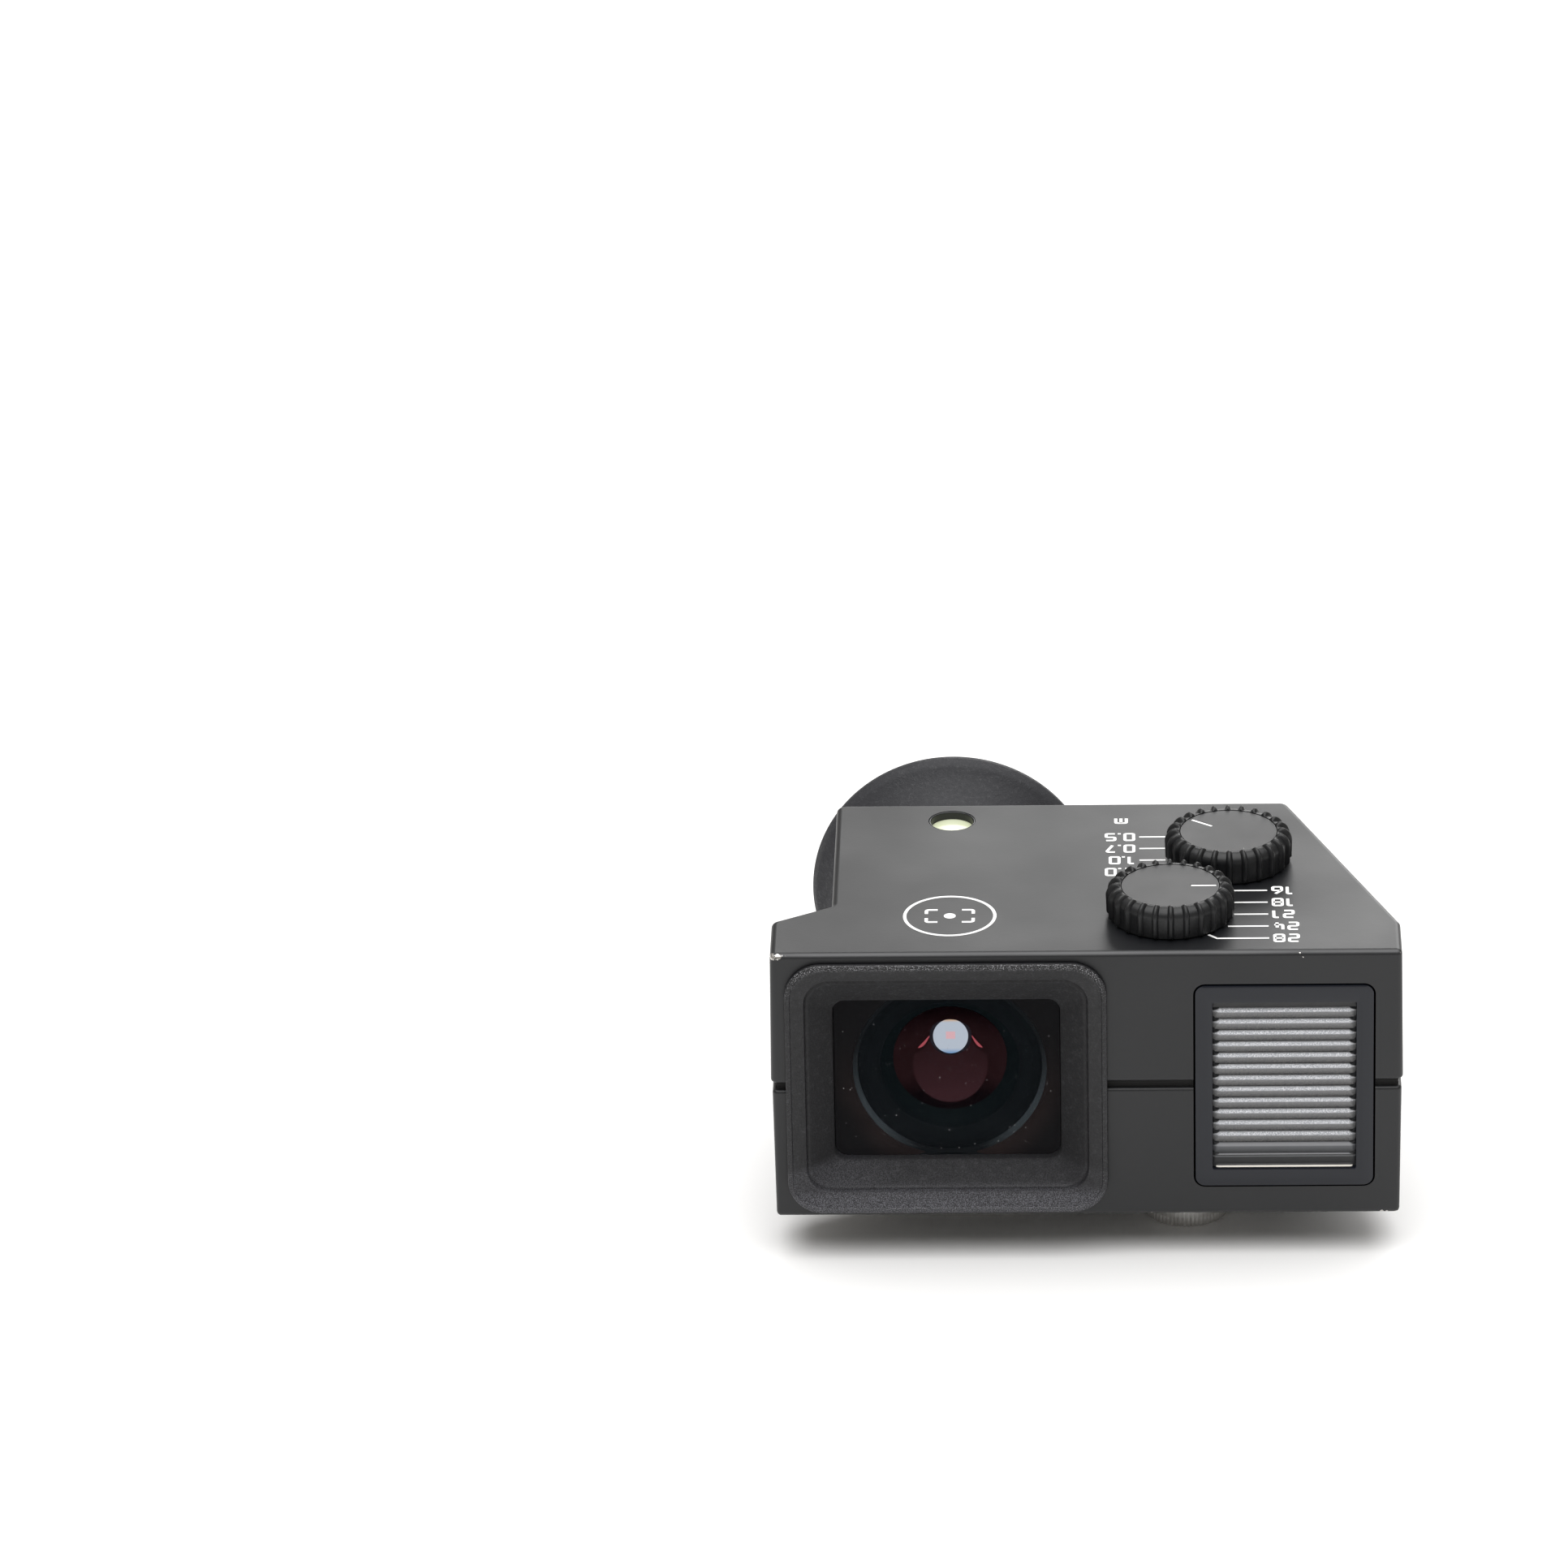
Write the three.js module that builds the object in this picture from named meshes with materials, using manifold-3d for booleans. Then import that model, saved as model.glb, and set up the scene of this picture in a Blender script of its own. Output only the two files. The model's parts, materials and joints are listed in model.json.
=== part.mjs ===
// A shoe-mounted wide-angle viewfinder with bright-line frames, as separate bench parts.
// Millimetres, +Z up. The objective looks towards -Y and the eyepiece towards +Y. The origin is the
// centre of the shoe foot's sole, straight below the optical axis.

import * as THREE from 'three'
import { mergeVertices } from 'three/addons/utils/BufferGeometryUtils.js'
import Module from 'manifold-3d'

const wasm = await Module()
wasm.setup()

// ---- Driving dimensions ------------------------------------------------------------------------

const bodyWidth = 70
const bodyDepth = 39.5
const bodyHeight = 32.5
const footStandoff = 5            // shoe foot's sole to the underside of the body
const axisFromLeft = 19.8         // optical axis, from the left side
const footFromFront = 20          // centre of the foot, from the front face
const wallThickness = 1.6
const shellDraft = 0.011          // inset per millimetre away from the seam, a mould or die draft
const lowerShellStep = 0.15       // the lower shell is this much smaller all round
const seamGap = 0.45              // half the height of the shadow groove between the shells
const seamDepth = 0.55            // depth of that groove
const looseFit = 0.3              // gap between separate pieces that are round or turned

const left = -axisFromLeft
const right = left + bodyWidth
const front = -footFromFront
const rear = front + bodyDepth
const bottom = footStandoff
const top = bottom + bodyHeight
const axisHeight = bottom + bodyHeight / 2
const wallInset = wallThickness + seamDepth / 3
const innerFloor = bottom + wallThickness
const innerRoof = top - wallThickness

const focalKnob = { x: 24.6, y: -10.3 }
const distanceKnob = { x: 31.25, y: 3.8 }
const knobRadius = 7.2
const knobCapRadius = 5.35
const knobGap = 0.2
const knobTop = top + 3.8
const knobRibs = 24
const knobRibDepth = 0.55
const knobPointer = { from: 2.3, to: 5.1, half: 0.17 }
const spindleRadius = 1.6
const spindleBore = spindleRadius + looseFit

const gearModule = 0.5
const focalPinionTeeth = 20
const lockPinionTeeth = 16

const levelEye = { x: 0.14, y: 14.8, radius: 2.65 }
const bezelCentre = { x: -0.3, z: axisHeight - 0.15 }
const windowCentre = { x: 37.05, z: 21.0 }
const lockWheel = { x: 26.24, y: -8.45, radius: 4.8 }
const lockPin = { x: 1.0, y: -2.7, radius: 0.9 }
const lightPath = { x: 34.5, y: -2.5 }
const footSize = { width: 18.6, length: 18, thickness: 2, neckWidth: 12.2, chamfer: 1.2 }
const lockSpindleRadius = 1.5

const caseBosses = [
  { x: -15.6, y: -11.7 },
  { x: 45.2, y: -11.0 },
  { x: -10.8, y: 15.6 },
  { x: 33.7, y: 15.8 },
]
const footScrews = [
  { x: -4.4, y: -6.6 },
  { x: 4.4, y: -6.6 },
  { x: -4.4, y: 6.6 },
  { x: 4.4, y: 6.6 },
]
const chassisPosts = [
  { x: -8.5, y: -9.5 },
  { x: -8.5, y: 9.5 },
  { x: 34, y: 8.5 },
]
const chassisUnder = 9.1
const chassisTop = 10.3

// Plates let into the front wall: width, height and corner radius.
const bezelNeck = { width: 32.6, height: 27.6, radius: 2.9, depth: 3.2 }
const bezelThroat = { width: 28.0, height: 22.4, radius: 1.6, depth: 6.1 }
const objectiveOpening = { width: 25.2, height: 19.6, radius: 1.4, depth: 3.4 }
const windowPlate = { width: 19.7, height: 24.7, radius: 1.1, recess: 0.15, depth: 2.4 }
const windowFlange = { width: 21.6, height: 26.4, radius: 1.6 }
const windowFit = 0.2
const ribbedPane = { width: 15.8, height: 20.4, ribs: 15, crest: 0.45, valley: 0.9, back: 2.6 }

const objectiveTube = { outer: 9.5, inner: 8.8, flange: 10.6, from: front + 7.3, to: front + 10.2 }
const eyepieceTube = { outer: 8.5, inner: 7.4, flange: 10.6, from: 8.4, to: rear + 1.1 }
const caseBoss = { radius: 2.0, bore: 1.1 }
const footPost = { radius: 1.6, bore: 0.9, top: 8.6 }
const chassisPost = { radius: 1.8, bore: 0.9 }
const headSink = 1.2              // depth of the recesses for the case screws

// ---- Materials ---------------------------------------------------------------------------------

function finish(color, roughness, metalness) {
  return new THREE.MeshStandardMaterial({ color, roughness, metalness })
}

const blackEnamel = finish(0x3a3c3e, 0.42, 0.35)
const blackPlastic = finish(0x232427, 0.72, 0)
const blackRubber = finish(0x1d1e20, 0.85, 0)
const blackAnodised = finish(0x26272a, 0.5, 0.6)
const clearGlass = finish(0x22313a, 0.05, 0)
const frosted = finish(0x9aa0a6, 0.45, 0)
const silvered = finish(0xc8ccd0, 0.08, 1)
const brightSteel = finish(0xb4b5b4, 0.35, 1)
const brass = finish(0xb08d4a, 0.4, 1)
const whiteFill = finish(0xf2f2ee, 0.6, 0)
const vialGreen = finish(0xdfe3cf, 0.2, 0)

// ---- Shape helpers -----------------------------------------------------------------------------

function solid(geometry) {
  const bare = geometry.clone()
  bare.deleteAttribute('normal')
  bare.deleteAttribute('uv')
  const merged = mergeVertices(bare, 1e-4)
  return new wasm.Manifold(new wasm.Mesh({
    numProp: 3,
    vertProperties: new Float32Array(merged.attributes.position.array),
    triVerts: new Uint32Array(merged.index.array),
  }))
}

function geometryOf(manifold) {
  const mesh = manifold.getMesh()
  const geometry = new THREE.BufferGeometry()
  geometry.setAttribute('position', new THREE.BufferAttribute(mesh.vertProperties, 3))
  geometry.setIndex(new THREE.BufferAttribute(mesh.triVerts, 1))
  return geometry
}

function join(...geometries) {
  return geometryOf(geometries.map(solid).reduce((whole, piece) => whole.add(piece)))
}

function cut(base, ...tools) {
  return geometryOf(tools.map(solid).reduce((whole, tool) => whole.subtract(tool), solid(base)))
}

function common(first, second) {
  return geometryOf(solid(first).intersect(solid(second)))
}

function box(x0, x1, y0, y1, z0, z1) {
  return new THREE.BoxGeometry(x1 - x0, y1 - y0, z1 - z0)
    .translate((x0 + x1) / 2, (y0 + y1) / 2, (z0 + z1) / 2)
}

// A round bar along Z.
function post(x, y, radius, z0, z1, sides = 14) {
  return new THREE.CylinderGeometry(radius, radius, z1 - z0, sides)
    .rotateX(Math.PI / 2)
    .translate(x, y, (z0 + z1) / 2)
}

// A round bar along Y, centred on the optical axis unless told otherwise.
function barrel(radius, y0, y1, x = 0, z = axisHeight, sides = 32) {
  return new THREE.CylinderGeometry(radius, radius, y1 - y0, sides).translate(x, (y0 + y1) / 2, z)
}

// A body of revolution about Z, from [radius, height] pairs.
function turnedUpright(profile, x, y, sides = 24) {
  const points = profile.map(([radius, height]) => new THREE.Vector2(radius, height))
  return new THREE.LatheGeometry(points, sides).rotateX(Math.PI / 2).translate(x, y, 0)
}

// A body of revolution about the optical axis, from [radius, y] pairs.
function turnedAlong(profile, sides = 28) {
  const points = profile.map(([radius, y]) => new THREE.Vector2(radius, y))
  return new THREE.LatheGeometry(points, sides).translate(0, 0, axisHeight)
}

function washer(x, y, inner, outer, z0, z1, sides = 20) {
  return turnedUpright([[inner, z0], [outer, z0], [outer, z1], [inner, z1], [inner, z0]], x, y, sides)
}

function arc(centreX, centreY, radius, from, to, steps) {
  return Array.from({ length: steps + 1 }, (_, step) => {
    const angle = from + (to - from) * step / steps
    return [centreX + radius * Math.cos(angle), centreY + radius * Math.sin(angle)]
  })
}

// A rectangle about 0, 0 with round corners, as [x, y] points.
function roundRectangle(width, height, radius, steps = 4) {
  const quarter = Math.PI / 2
  const corners = [[1, -1, -1], [1, 1, 0], [-1, 1, 1], [-1, -1, 2]]
  return corners.flatMap(([sideX, sideY, turn]) => arc(
    sideX * (width / 2 - radius), sideY * (height / 2 - radius),
    radius, turn * quarter, (turn + 1) * quarter, steps,
  ))
}

// An outline of [x, y] points drawn out along Z.
function slab(points, z0, z1) {
  const shape = new THREE.Shape(points.map(([x, y]) => new THREE.Vector2(x, y)))
  return new THREE.ExtrudeGeometry(shape, { depth: z1 - z0, bevelEnabled: false }).translate(0, 0, z0)
}

// An outline of [x, height] points drawn out along Y, at the given centre.
function panel(points, y0, y1, x = 0, z = axisHeight) {
  return slab(points, -y1, -y0).rotateX(Math.PI / 2).translate(x, 0, z)
}

// Walls through a stack of closed rings with equal point counts, closed by a flat cap at each end.
function loft(rings) {
  const count = rings[0].length
  const positions = rings.flat(2)
  const faces = []
  for (let ring = 0; ring + 1 < rings.length; ring += 1) {
    for (let point = 0; point < count; point += 1) {
      const next = (point + 1) % count
      const low = ring * count
      const high = low + count
      faces.push(low + point, low + next, high + next, low + point, high + next, high + point)
    }
  }
  const flat = ring => ring.map(([x, y]) => new THREE.Vector2(x, y))
  const last = (rings.length - 1) * count
  for (const [a, b, c] of THREE.ShapeUtils.triangulateShape(flat(rings[0]), [])) {
    faces.push(c, b, a)
  }
  for (const [a, b, c] of THREE.ShapeUtils.triangulateShape(flat(rings.at(-1)), [])) {
    faces.push(last + a, last + b, last + c)
  }
  const geometry = new THREE.BufferGeometry()
  geometry.setAttribute('position', new THREE.Float32BufferAttribute(positions, 3))
  geometry.setIndex(faces)
  return geometry
}

// A spur gear outline with straight-flanked teeth.
function gearOutline(teeth) {
  const pitchRadius = gearModule * teeth / 2
  const tip = pitchRadius + gearModule * 0.8
  const root = pitchRadius - gearModule * 1.1
  const step = 2 * Math.PI / teeth
  const flanks = [[root, -0.30], [tip, -0.14], [tip, 0.14], [root, 0.30]]
  return Array.from({ length: teeth }, (_, tooth) => flanks.map(([radius, part]) => {
    const angle = (tooth + part) * step
    return [radius * Math.cos(angle), radius * Math.sin(angle)]
  })).flat()
}

// Teeth along X on the side of a rack, as [x, y] points from x0 to x1, standing up to `height`.
function rackTeeth(x0, x1, phase, height) {
  const pitch = Math.PI * gearModule
  const points = []
  const first = Math.ceil((x0 - phase) / pitch)
  const last = Math.floor((x1 - phase) / pitch)
  for (let tooth = first; tooth <= last; tooth += 1) {
    const centre = phase + tooth * pitch
    points.push([centre - 0.30 * pitch, 0], [centre - 0.13 * pitch, height])
    points.push([centre + 0.13 * pitch, height], [centre + 0.30 * pitch, 0])
  }
  return points
}

// ---- The part, and how pieces are added --------------------------------------------------------

const viewfinder = new THREE.Group()

function add(name, geometry, material, parent = viewfinder) {
  geometry.computeVertexNormals()
  const mesh = new THREE.Mesh(geometry, material)
  mesh.name = name
  parent.add(mesh)
  return mesh
}

// ---- Shells ------------------------------------------------------------------------------------

// The body seen from above: square at the front, a notch behind the left corner that clears the
// camera's dial, and a long slanting side at the right.
const planCorners = [
  { x: left, y: front, radius: 0.8 },
  { x: right, y: front, radius: 0.8 },
  { x: right, y: front + 7.6, radius: 1.2 },
  { x: left + 57.9, y: rear, radius: 1.2 },
  { x: left + 6.6, y: rear, radius: 1.2 },
  { x: left + 6.6, y: front + 12.95, radius: 0.6 },
  { x: left, y: front + 8.9, radius: 1.2 },
]

// The plan outline moved in by `inset`, at height z, with each corner turned into a short arc.
function planOutline(inset, z) {
  const count = planCorners.length
  const sides = planCorners.map((corner, index) => {
    const next = planCorners[(index + 1) % count]
    const along = new THREE.Vector2(next.x - corner.x, next.y - corner.y).normalize()
    const inward = new THREE.Vector2(-along.y, along.x)
    return { along, inward, offset: inward.x * corner.x + inward.y * corner.y + inset }
  })
  return planCorners.flatMap((corner, index) => {
    const before = sides[(index + count - 1) % count]
    const after = sides[index]
    const cross = before.along.cross(after.along)
    const convex = cross > 0
    const radius = Math.max(corner.radius + (convex ? -inset : inset), 0.1)
    const shift = convex ? radius : -radius
    const reachBefore = before.offset + shift
    const reachAfter = after.offset + shift
    const centreX = (reachBefore * after.inward.y - reachAfter * before.inward.y) / cross
    const centreY = (reachAfter * before.inward.x - reachBefore * after.inward.x) / cross
    const turn = Math.asin(cross)
    const start = Math.atan2(-before.inward.y * shift, -before.inward.x * shift)
    return arc(centreX, centreY, radius, start, start + turn, 3).map(([x, y]) => [x, y, z])
  })
}

// Half the case as a solid block, from the seam to its flat outer face. `side` is 1 upwards and
// -1 downwards.
function shellBlock(side, step, edgeRadius) {
  const outer = side > 0 ? top : bottom
  const draft = z => step + shellDraft * Math.abs(z - axisHeight)
  const lip = axisHeight + side * seamGap
  const rings = [
    planOutline(step + seamDepth, axisHeight),
    planOutline(step + seamDepth, lip),
    planOutline(step + 0.2, lip + side * 0.04),
    planOutline(step + 0.03, lip + side * 0.25),
  ]
  const bend = outer - side * edgeRadius
  for (const turn of [0, 30, 60, 90].map(THREE.MathUtils.degToRad)) {
    const inset = draft(bend) + edgeRadius * (1 - Math.cos(turn))
    rings.push(planOutline(inset, bend + side * edgeRadius * Math.sin(turn)))
  }
  return loft(side > 0 ? rings : rings.reverse())
}

function planBlock(inset, z0, z1) {
  return loft([planOutline(inset, z0), planOutline(inset, z1)])
}

// An opening through the front wall, larger than its plate by `gap` all round.
function frontOpening(plate, gap, centre) {
  const outline = roundRectangle(plate.width + 2 * gap, plate.height + 2 * gap, plate.radius + gap)
  return panel(outline, front - 2, front + 4, centre.x, centre.z)
}

const bezelHole = frontOpening(bezelNeck, looseFit, bezelCentre)
const windowHole = frontOpening(windowPlate, windowFit, windowCentre)
const eyepieceHole = barrel(eyepieceTube.outer + 0.4, rear - 4, rear + 2)

const upperCavity = planBlock(wallInset, axisHeight - 1, innerRoof)
const upperBosses = caseBosses.map(({ x, y }) => post(x, y, caseBoss.radius, axisHeight, innerRoof + 0.5))
const upperShell = cut(
  join(cut(shellBlock(1, 0, 0.63), upperCavity), ...upperBosses),
  bezelHole,
  windowHole,
  eyepieceHole,
  post(focalKnob.x, focalKnob.y, spindleBore, innerRoof - 1, top + 1),
  post(distanceKnob.x, distanceKnob.y, spindleBore, innerRoof - 1, top + 1),
  post(levelEye.x, levelEye.y, levelEye.radius, innerRoof - 1, top + 1, 32),
  ...caseBosses.map(({ x, y }) => post(x, y, caseBoss.bore, axisHeight - 1, innerRoof - 1, 10)),
)
add('upper_shell', upperShell, blackEnamel)

const lowerCavity = planBlock(wallInset + lowerShellStep, innerFloor, axisHeight + 1)
const lowerPosts = [
  ...caseBosses.map(({ x, y }) => post(x, y, caseBoss.radius, innerFloor - 0.5, axisHeight)),
  ...footScrews.map(({ x, y }) => post(x, y, footPost.radius, innerFloor - 0.5, footPost.top, 10)),
  ...chassisPosts.map(({ x, y }) => post(x, y, chassisPost.radius, innerFloor - 0.5, chassisUnder, 10)),
]
const lowerShell = cut(
  join(cut(shellBlock(-1, lowerShellStep, 0.7), lowerCavity), ...lowerPosts),
  bezelHole,
  windowHole,
  eyepieceHole,
  post(lockWheel.x, lockWheel.y, lockSpindleRadius + looseFit, bottom - 1, innerFloor + 1),
  post(lockPin.x, lockPin.y, lockPin.radius + looseFit, bottom - 1, innerFloor + 1),
  ...caseBosses.map(({ x, y }) => post(x, y, caseBoss.bore, bottom - 1, axisHeight + 1, 10)),
  ...caseBosses.map(({ x, y }) => post(x, y, caseBoss.radius, bottom - 1, bottom + headSink)),
  ...footScrews.map(({ x, y }) => post(x, y, footPost.bore, bottom - 1, footPost.top - 0.2, 8)),
  ...chassisPosts.map(({ x, y }) => post(x, y, chassisPost.bore, innerFloor + 0.4, chassisUnder + 1, 8)),
)
add('lower_shell', lowerShell, blackEnamel)

// A screw with a slotted head between headLow and headHigh, and its shank reaching to shankEnd.
function screw(x, y, headRadius, headLow, headHigh, shankRadius, shankEnd) {
  const down = shankEnd < headLow
  const head = post(x, y, headRadius, headLow, headHigh)
  const shank = down
    ? post(x, y, shankRadius, shankEnd, headLow + 0.2, 8)
    : post(x, y, shankRadius, headHigh - 0.2, shankEnd, 8)
  const slotDepth = (headHigh - headLow) * 0.4
  const slotHalf = 0.2
  const [slotLow, slotHigh] = down
    ? [headHigh - slotDepth, headHigh + 1]
    : [headLow - 1, headLow + slotDepth]
  const slot = box(x - headRadius, x + headRadius, y - slotHalf, y + slotHalf, slotLow, slotHigh)
  return cut(join(head, shank), slot)
}

caseBosses.forEach(({ x, y }, index) => {
  const low = bottom + 0.15
  add(`case_screw_${index + 1}`, screw(x, y, 1.7, low, bottom + headSink, 0.8, innerRoof - 2), brightSteel)
})

// ---- Objective ---------------------------------------------------------------------------------

// Rounded rectangles [width, height, corner radius, depth behind the front face], front to back.
function steppedFrame(levels) {
  return loft(levels.map(([width, height, radius, depth]) => (
    roundRectangle(width, height, radius).map(([x, y]) => [x, y, depth])
  ))).rotateX(-Math.PI / 2).translate(bezelCentre.x, front, bezelCentre.z)
}

// A plate's size as one such level.
function levelOf(plate, depth) {
  return [plate.width, plate.height, plate.radius, depth]
}

// The lip stands 0.6 proud of the case, and the funnel inside it has a fine step near its mouth.
const bezelBlock = join(
  steppedFrame([[34.8, 29.8, 3.6, -0.6], [35.4, 30.4, 3.9, -0.5], [35.6, 30.6, 4, -0.3], [35.6, 30.6, 4, 0]]),
  steppedFrame([levelOf(bezelNeck, -0.3), levelOf(bezelNeck, bezelNeck.depth)]),
  steppedFrame([levelOf(bezelThroat, bezelNeck.depth - 0.2), levelOf(bezelThroat, bezelThroat.depth)]),
)
const funnel = steppedFrame([
  [34.4, 29.4, 3.6, -2],
  [34.4, 29.4, 3.6, -0.5],
  [31.4, 26.0, 2.9, 0.35],
  [30.8, 25.4, 2.7, 0.45],
  levelOf(objectiveOpening, objectiveOpening.depth),
  levelOf(objectiveOpening, bezelThroat.depth + 1),
])
add('front_bezel', cut(bezelBlock, funnel), blackPlastic)

// The distance that a round surface falls back at `radius` from its middle.
function sag(radius, curve) {
  return curve - Math.sqrt(curve * curve - radius * radius)
}

// A glass face as profile points from the axis outwards, or back in when `inwards` is true.
function glassFace(apex, curve, aperture, bend, inwards = false, steps = 4) {
  const points = Array.from({ length: steps + 1 }, (_, step) => {
    const radius = aperture * step / steps
    return [radius, apex + bend * sag(radius, curve)]
  })
  return inwards ? points.reverse() : points
}

// A round meniscus ground wide, then cut to the rectangle that fills the opening.
const objectiveGlass = { rim: 17, frontCurve: 75, backCurve: 40, backAperture: 9.75, edgeGap: 0.1 }
const objectiveBlank = turnedAlong([
  ...glassFace(front + 3, objectiveGlass.frontCurve, objectiveGlass.rim, 1, false, 5),
  [objectiveGlass.rim, front + 5.9],
  ...glassFace(front + 4.7, objectiveGlass.backCurve, objectiveGlass.backAperture, 1, true),
])
const objectiveEdge = panel(roundRectangle(
  objectiveOpening.width - 2 * objectiveGlass.edgeGap,
  objectiveOpening.height - 2 * objectiveGlass.edgeGap,
  objectiveOpening.radius - objectiveGlass.edgeGap,
), front, front + 8, bezelCentre.x, bezelCentre.z)
add('objective_lens', common(objectiveBlank, objectiveEdge), clearGlass)

const ringBore = 10.75
const ringOutline = roundRectangle(26.4, 22.6, 2)
const ringPlate = panel(ringOutline, front + 6.2, front + 7.2, bezelCentre.x, bezelCentre.z)
add('objective_ring', cut(ringPlate, barrel(ringBore, front, front + 10, 0, axisHeight, 40)), blackAnodised)

const tube = objectiveTube
const tubeShoulder = tube.from + 0.8
add('lens_tube', turnedAlong([
  [tube.inner, tube.from], [tube.flange, tube.from], [tube.flange, tubeShoulder], [tube.outer, tubeShoulder],
  [tube.outer, tube.to], [tube.inner, tube.to], [tube.inner, tube.from],
]), blackAnodised)
const negativeAperture = 8.4
add('negative_lens', turnedAlong([
  ...glassFace(tube.from + 1.4, 24, negativeAperture, -1),
  ...glassFace(tube.from + 2.0, 30, negativeAperture, 1, true),
]), clearGlass)

// ---- Beam splitter, frame projection and eyepiece ----------------------------------------------

const splitter = { side: 13.6, gap: 0.05 }
const splitterHalf = splitter.side / 2
const splitterLow = axisHeight - splitterHalf
const splitterHigh = axisHeight + splitterHalf

// The two prisms meet along the diagonal that turns light from +X towards +Y, the eye.
function prism(corners) {
  return slab(corners.map(([x, y]) => [x, y + lightPath.y]), splitterLow, splitterHigh)
}

add('front_prism', prism([
  [-splitterHalf, -splitterHalf],
  [splitterHalf - splitter.gap, -splitterHalf],
  [-splitterHalf, splitterHalf - splitter.gap],
]), clearGlass)
add('rear_prism', prism([
  [splitterHalf, -splitterHalf + splitter.gap],
  [splitterHalf, splitterHalf],
  [-splitterHalf + splitter.gap, splitterHalf],
]), clearGlass)

const projection = { x: 15, half: 1.8, aperture: 3.6, bore: 3.9, outer: 5.2 }

// A body of revolution along the frame light path, which runs along X.
function turnedAcross(profile, sides = 28) {
  const points = profile.map(([radius, x]) => new THREE.Vector2(radius, x))
  return new THREE.LatheGeometry(points, sides)
    .rotateZ(-Math.PI / 2)
    .translate(0, lightPath.y, axisHeight)
}

const projectionLow = projection.x - projection.half
const projectionHigh = projection.x + projection.half
add('projection_lens', turnedAcross([
  ...glassFace(projectionLow + 0.2, 16, projection.aperture, 1),
  ...glassFace(projectionHigh - 0.2, 16, projection.aperture, -1, true),
]), clearGlass)
add('projection_mount', turnedAcross([
  [projection.bore, projectionLow], [projection.outer, projectionLow], [projection.outer, projectionHigh],
  [projection.bore, projectionHigh], [projection.bore, projectionLow],
]), blackAnodised)

const mirrorTurn = -Math.PI / 4    // the mirror's long side, seen from above
const mirrorPivotHeight = 14.2
const earReach = 6.6
const pivotRadius = 0.75
const pivotY = 1.1                // the pivot line, behind the mirror's silvered face

// Moves a shape drawn about the mirror's middle, long side along X, to its place.
function atMirror(geometry) {
  return geometry.rotateZ(mirrorTurn).translate(lightPath.x, lightPath.y, 0)
}

// A round bar along the mirror's long side.
function crossBar(radius, x0, x1, y, z, sides = 16) {
  return new THREE.CylinderGeometry(radius, radius, x1 - x0, sides)
    .rotateZ(-Math.PI / 2)
    .translate((x0 + x1) / 2, y, z)
}

// The chassis plate, with saddles under the lens tube, the prisms, the projection lens and the
// eyepiece tube, and two ears for the mirror's pivot pin.
const chassisOutline = [
  [-11, -12.4], [41.5, -12.4], [41.5, 2], [37.5, 12.5], [-11, 12.5],
]
const saddleLow = chassisTop - 0.2
const ears = [-1, 1].map(side => box(side * earReach - 0.6, side * earReach + 0.6, -0.6, 2.8,
  saddleLow, mirrorPivotHeight + 1.4))
const projectionBed = projection.outer + looseFit
const chassis = cut(
  join(
    slab(chassisOutline, chassisUnder, chassisTop),
    box(-splitterHalf, splitterHalf, lightPath.y - splitterHalf, lightPath.y + splitterHalf,
      saddleLow, splitterLow),
    box(-6, 6, front + 8.4, front + 10, saddleLow, chassisTop + 3),
    box(projection.x - 1.5, projection.x + 1.5, lightPath.y - 3, lightPath.y + 3,
      saddleLow, axisHeight - 4),
    box(-5.5, 5.5, 9.6, 12, saddleLow, chassisTop + 3.4),
    ...ears.map(atMirror),
  ),
  barrel(tube.outer + looseFit, front + 7, front + 12),
  barrel(eyepieceTube.outer + looseFit, 8, 13),
  turnedAcross([[0, 10], [projectionBed, 10], [projectionBed, 20], [0, 20]]),
  atMirror(crossBar(pivotRadius + looseFit, -9, 9, pivotY, mirrorPivotHeight)),
  ...chassisPosts.map(({ x, y }) => post(x, y, chassisPost.bore, chassisUnder - 1, chassisTop + 1, 8)),
)
add('optical_chassis', chassis, blackAnodised)
chassisPosts.forEach(({ x, y }, index) => {
  add(`chassis_screw_${index + 1}`, screw(x, y, 1.5, chassisTop, chassisTop + 0.9, 0.6, 7.2), brightSteel)
})

const pivotPin = crossBar(pivotRadius, -earReach - 1, earReach + 1, pivotY, mirrorPivotHeight)
add('mirror_pivot_pin', atMirror(pivotPin), brightSteel)

// The carrier: a back plate, a pivot barrel, and an arm that reaches up to the cam.
const armTop = 28.9
const carrier = cut(
  join(
    box(-5, 5, 0.3, 1.9, mirrorPivotHeight + 1.8, 26.4),
    box(-4.6, 4.6, 0, 2.2, mirrorPivotHeight - 1.7, mirrorPivotHeight + 2),
    box(-5, -3.4, 0.3, 6, 25.2, 26.4),
    box(-5, -3.4, 4.4, 6, 25.2, armTop),
  ),
  crossBar(pivotRadius + looseFit, -6, 6, pivotY, mirrorPivotHeight),
)
add('mirror_carrier', atMirror(carrier), blackAnodised)
add('frame_mirror', atMirror(box(-4.8, 4.8, -0.9, 0, mirrorPivotHeight + 2.2, 26.2)), silvered)
add('mirror_spring', atMirror(join(
  box(-1.2, 1.2, 3.4, 3.7, chassisTop, 19),
  box(-1.2, 1.2, 2.6, 3.7, 18.7, 19),
)), brightSteel)

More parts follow.
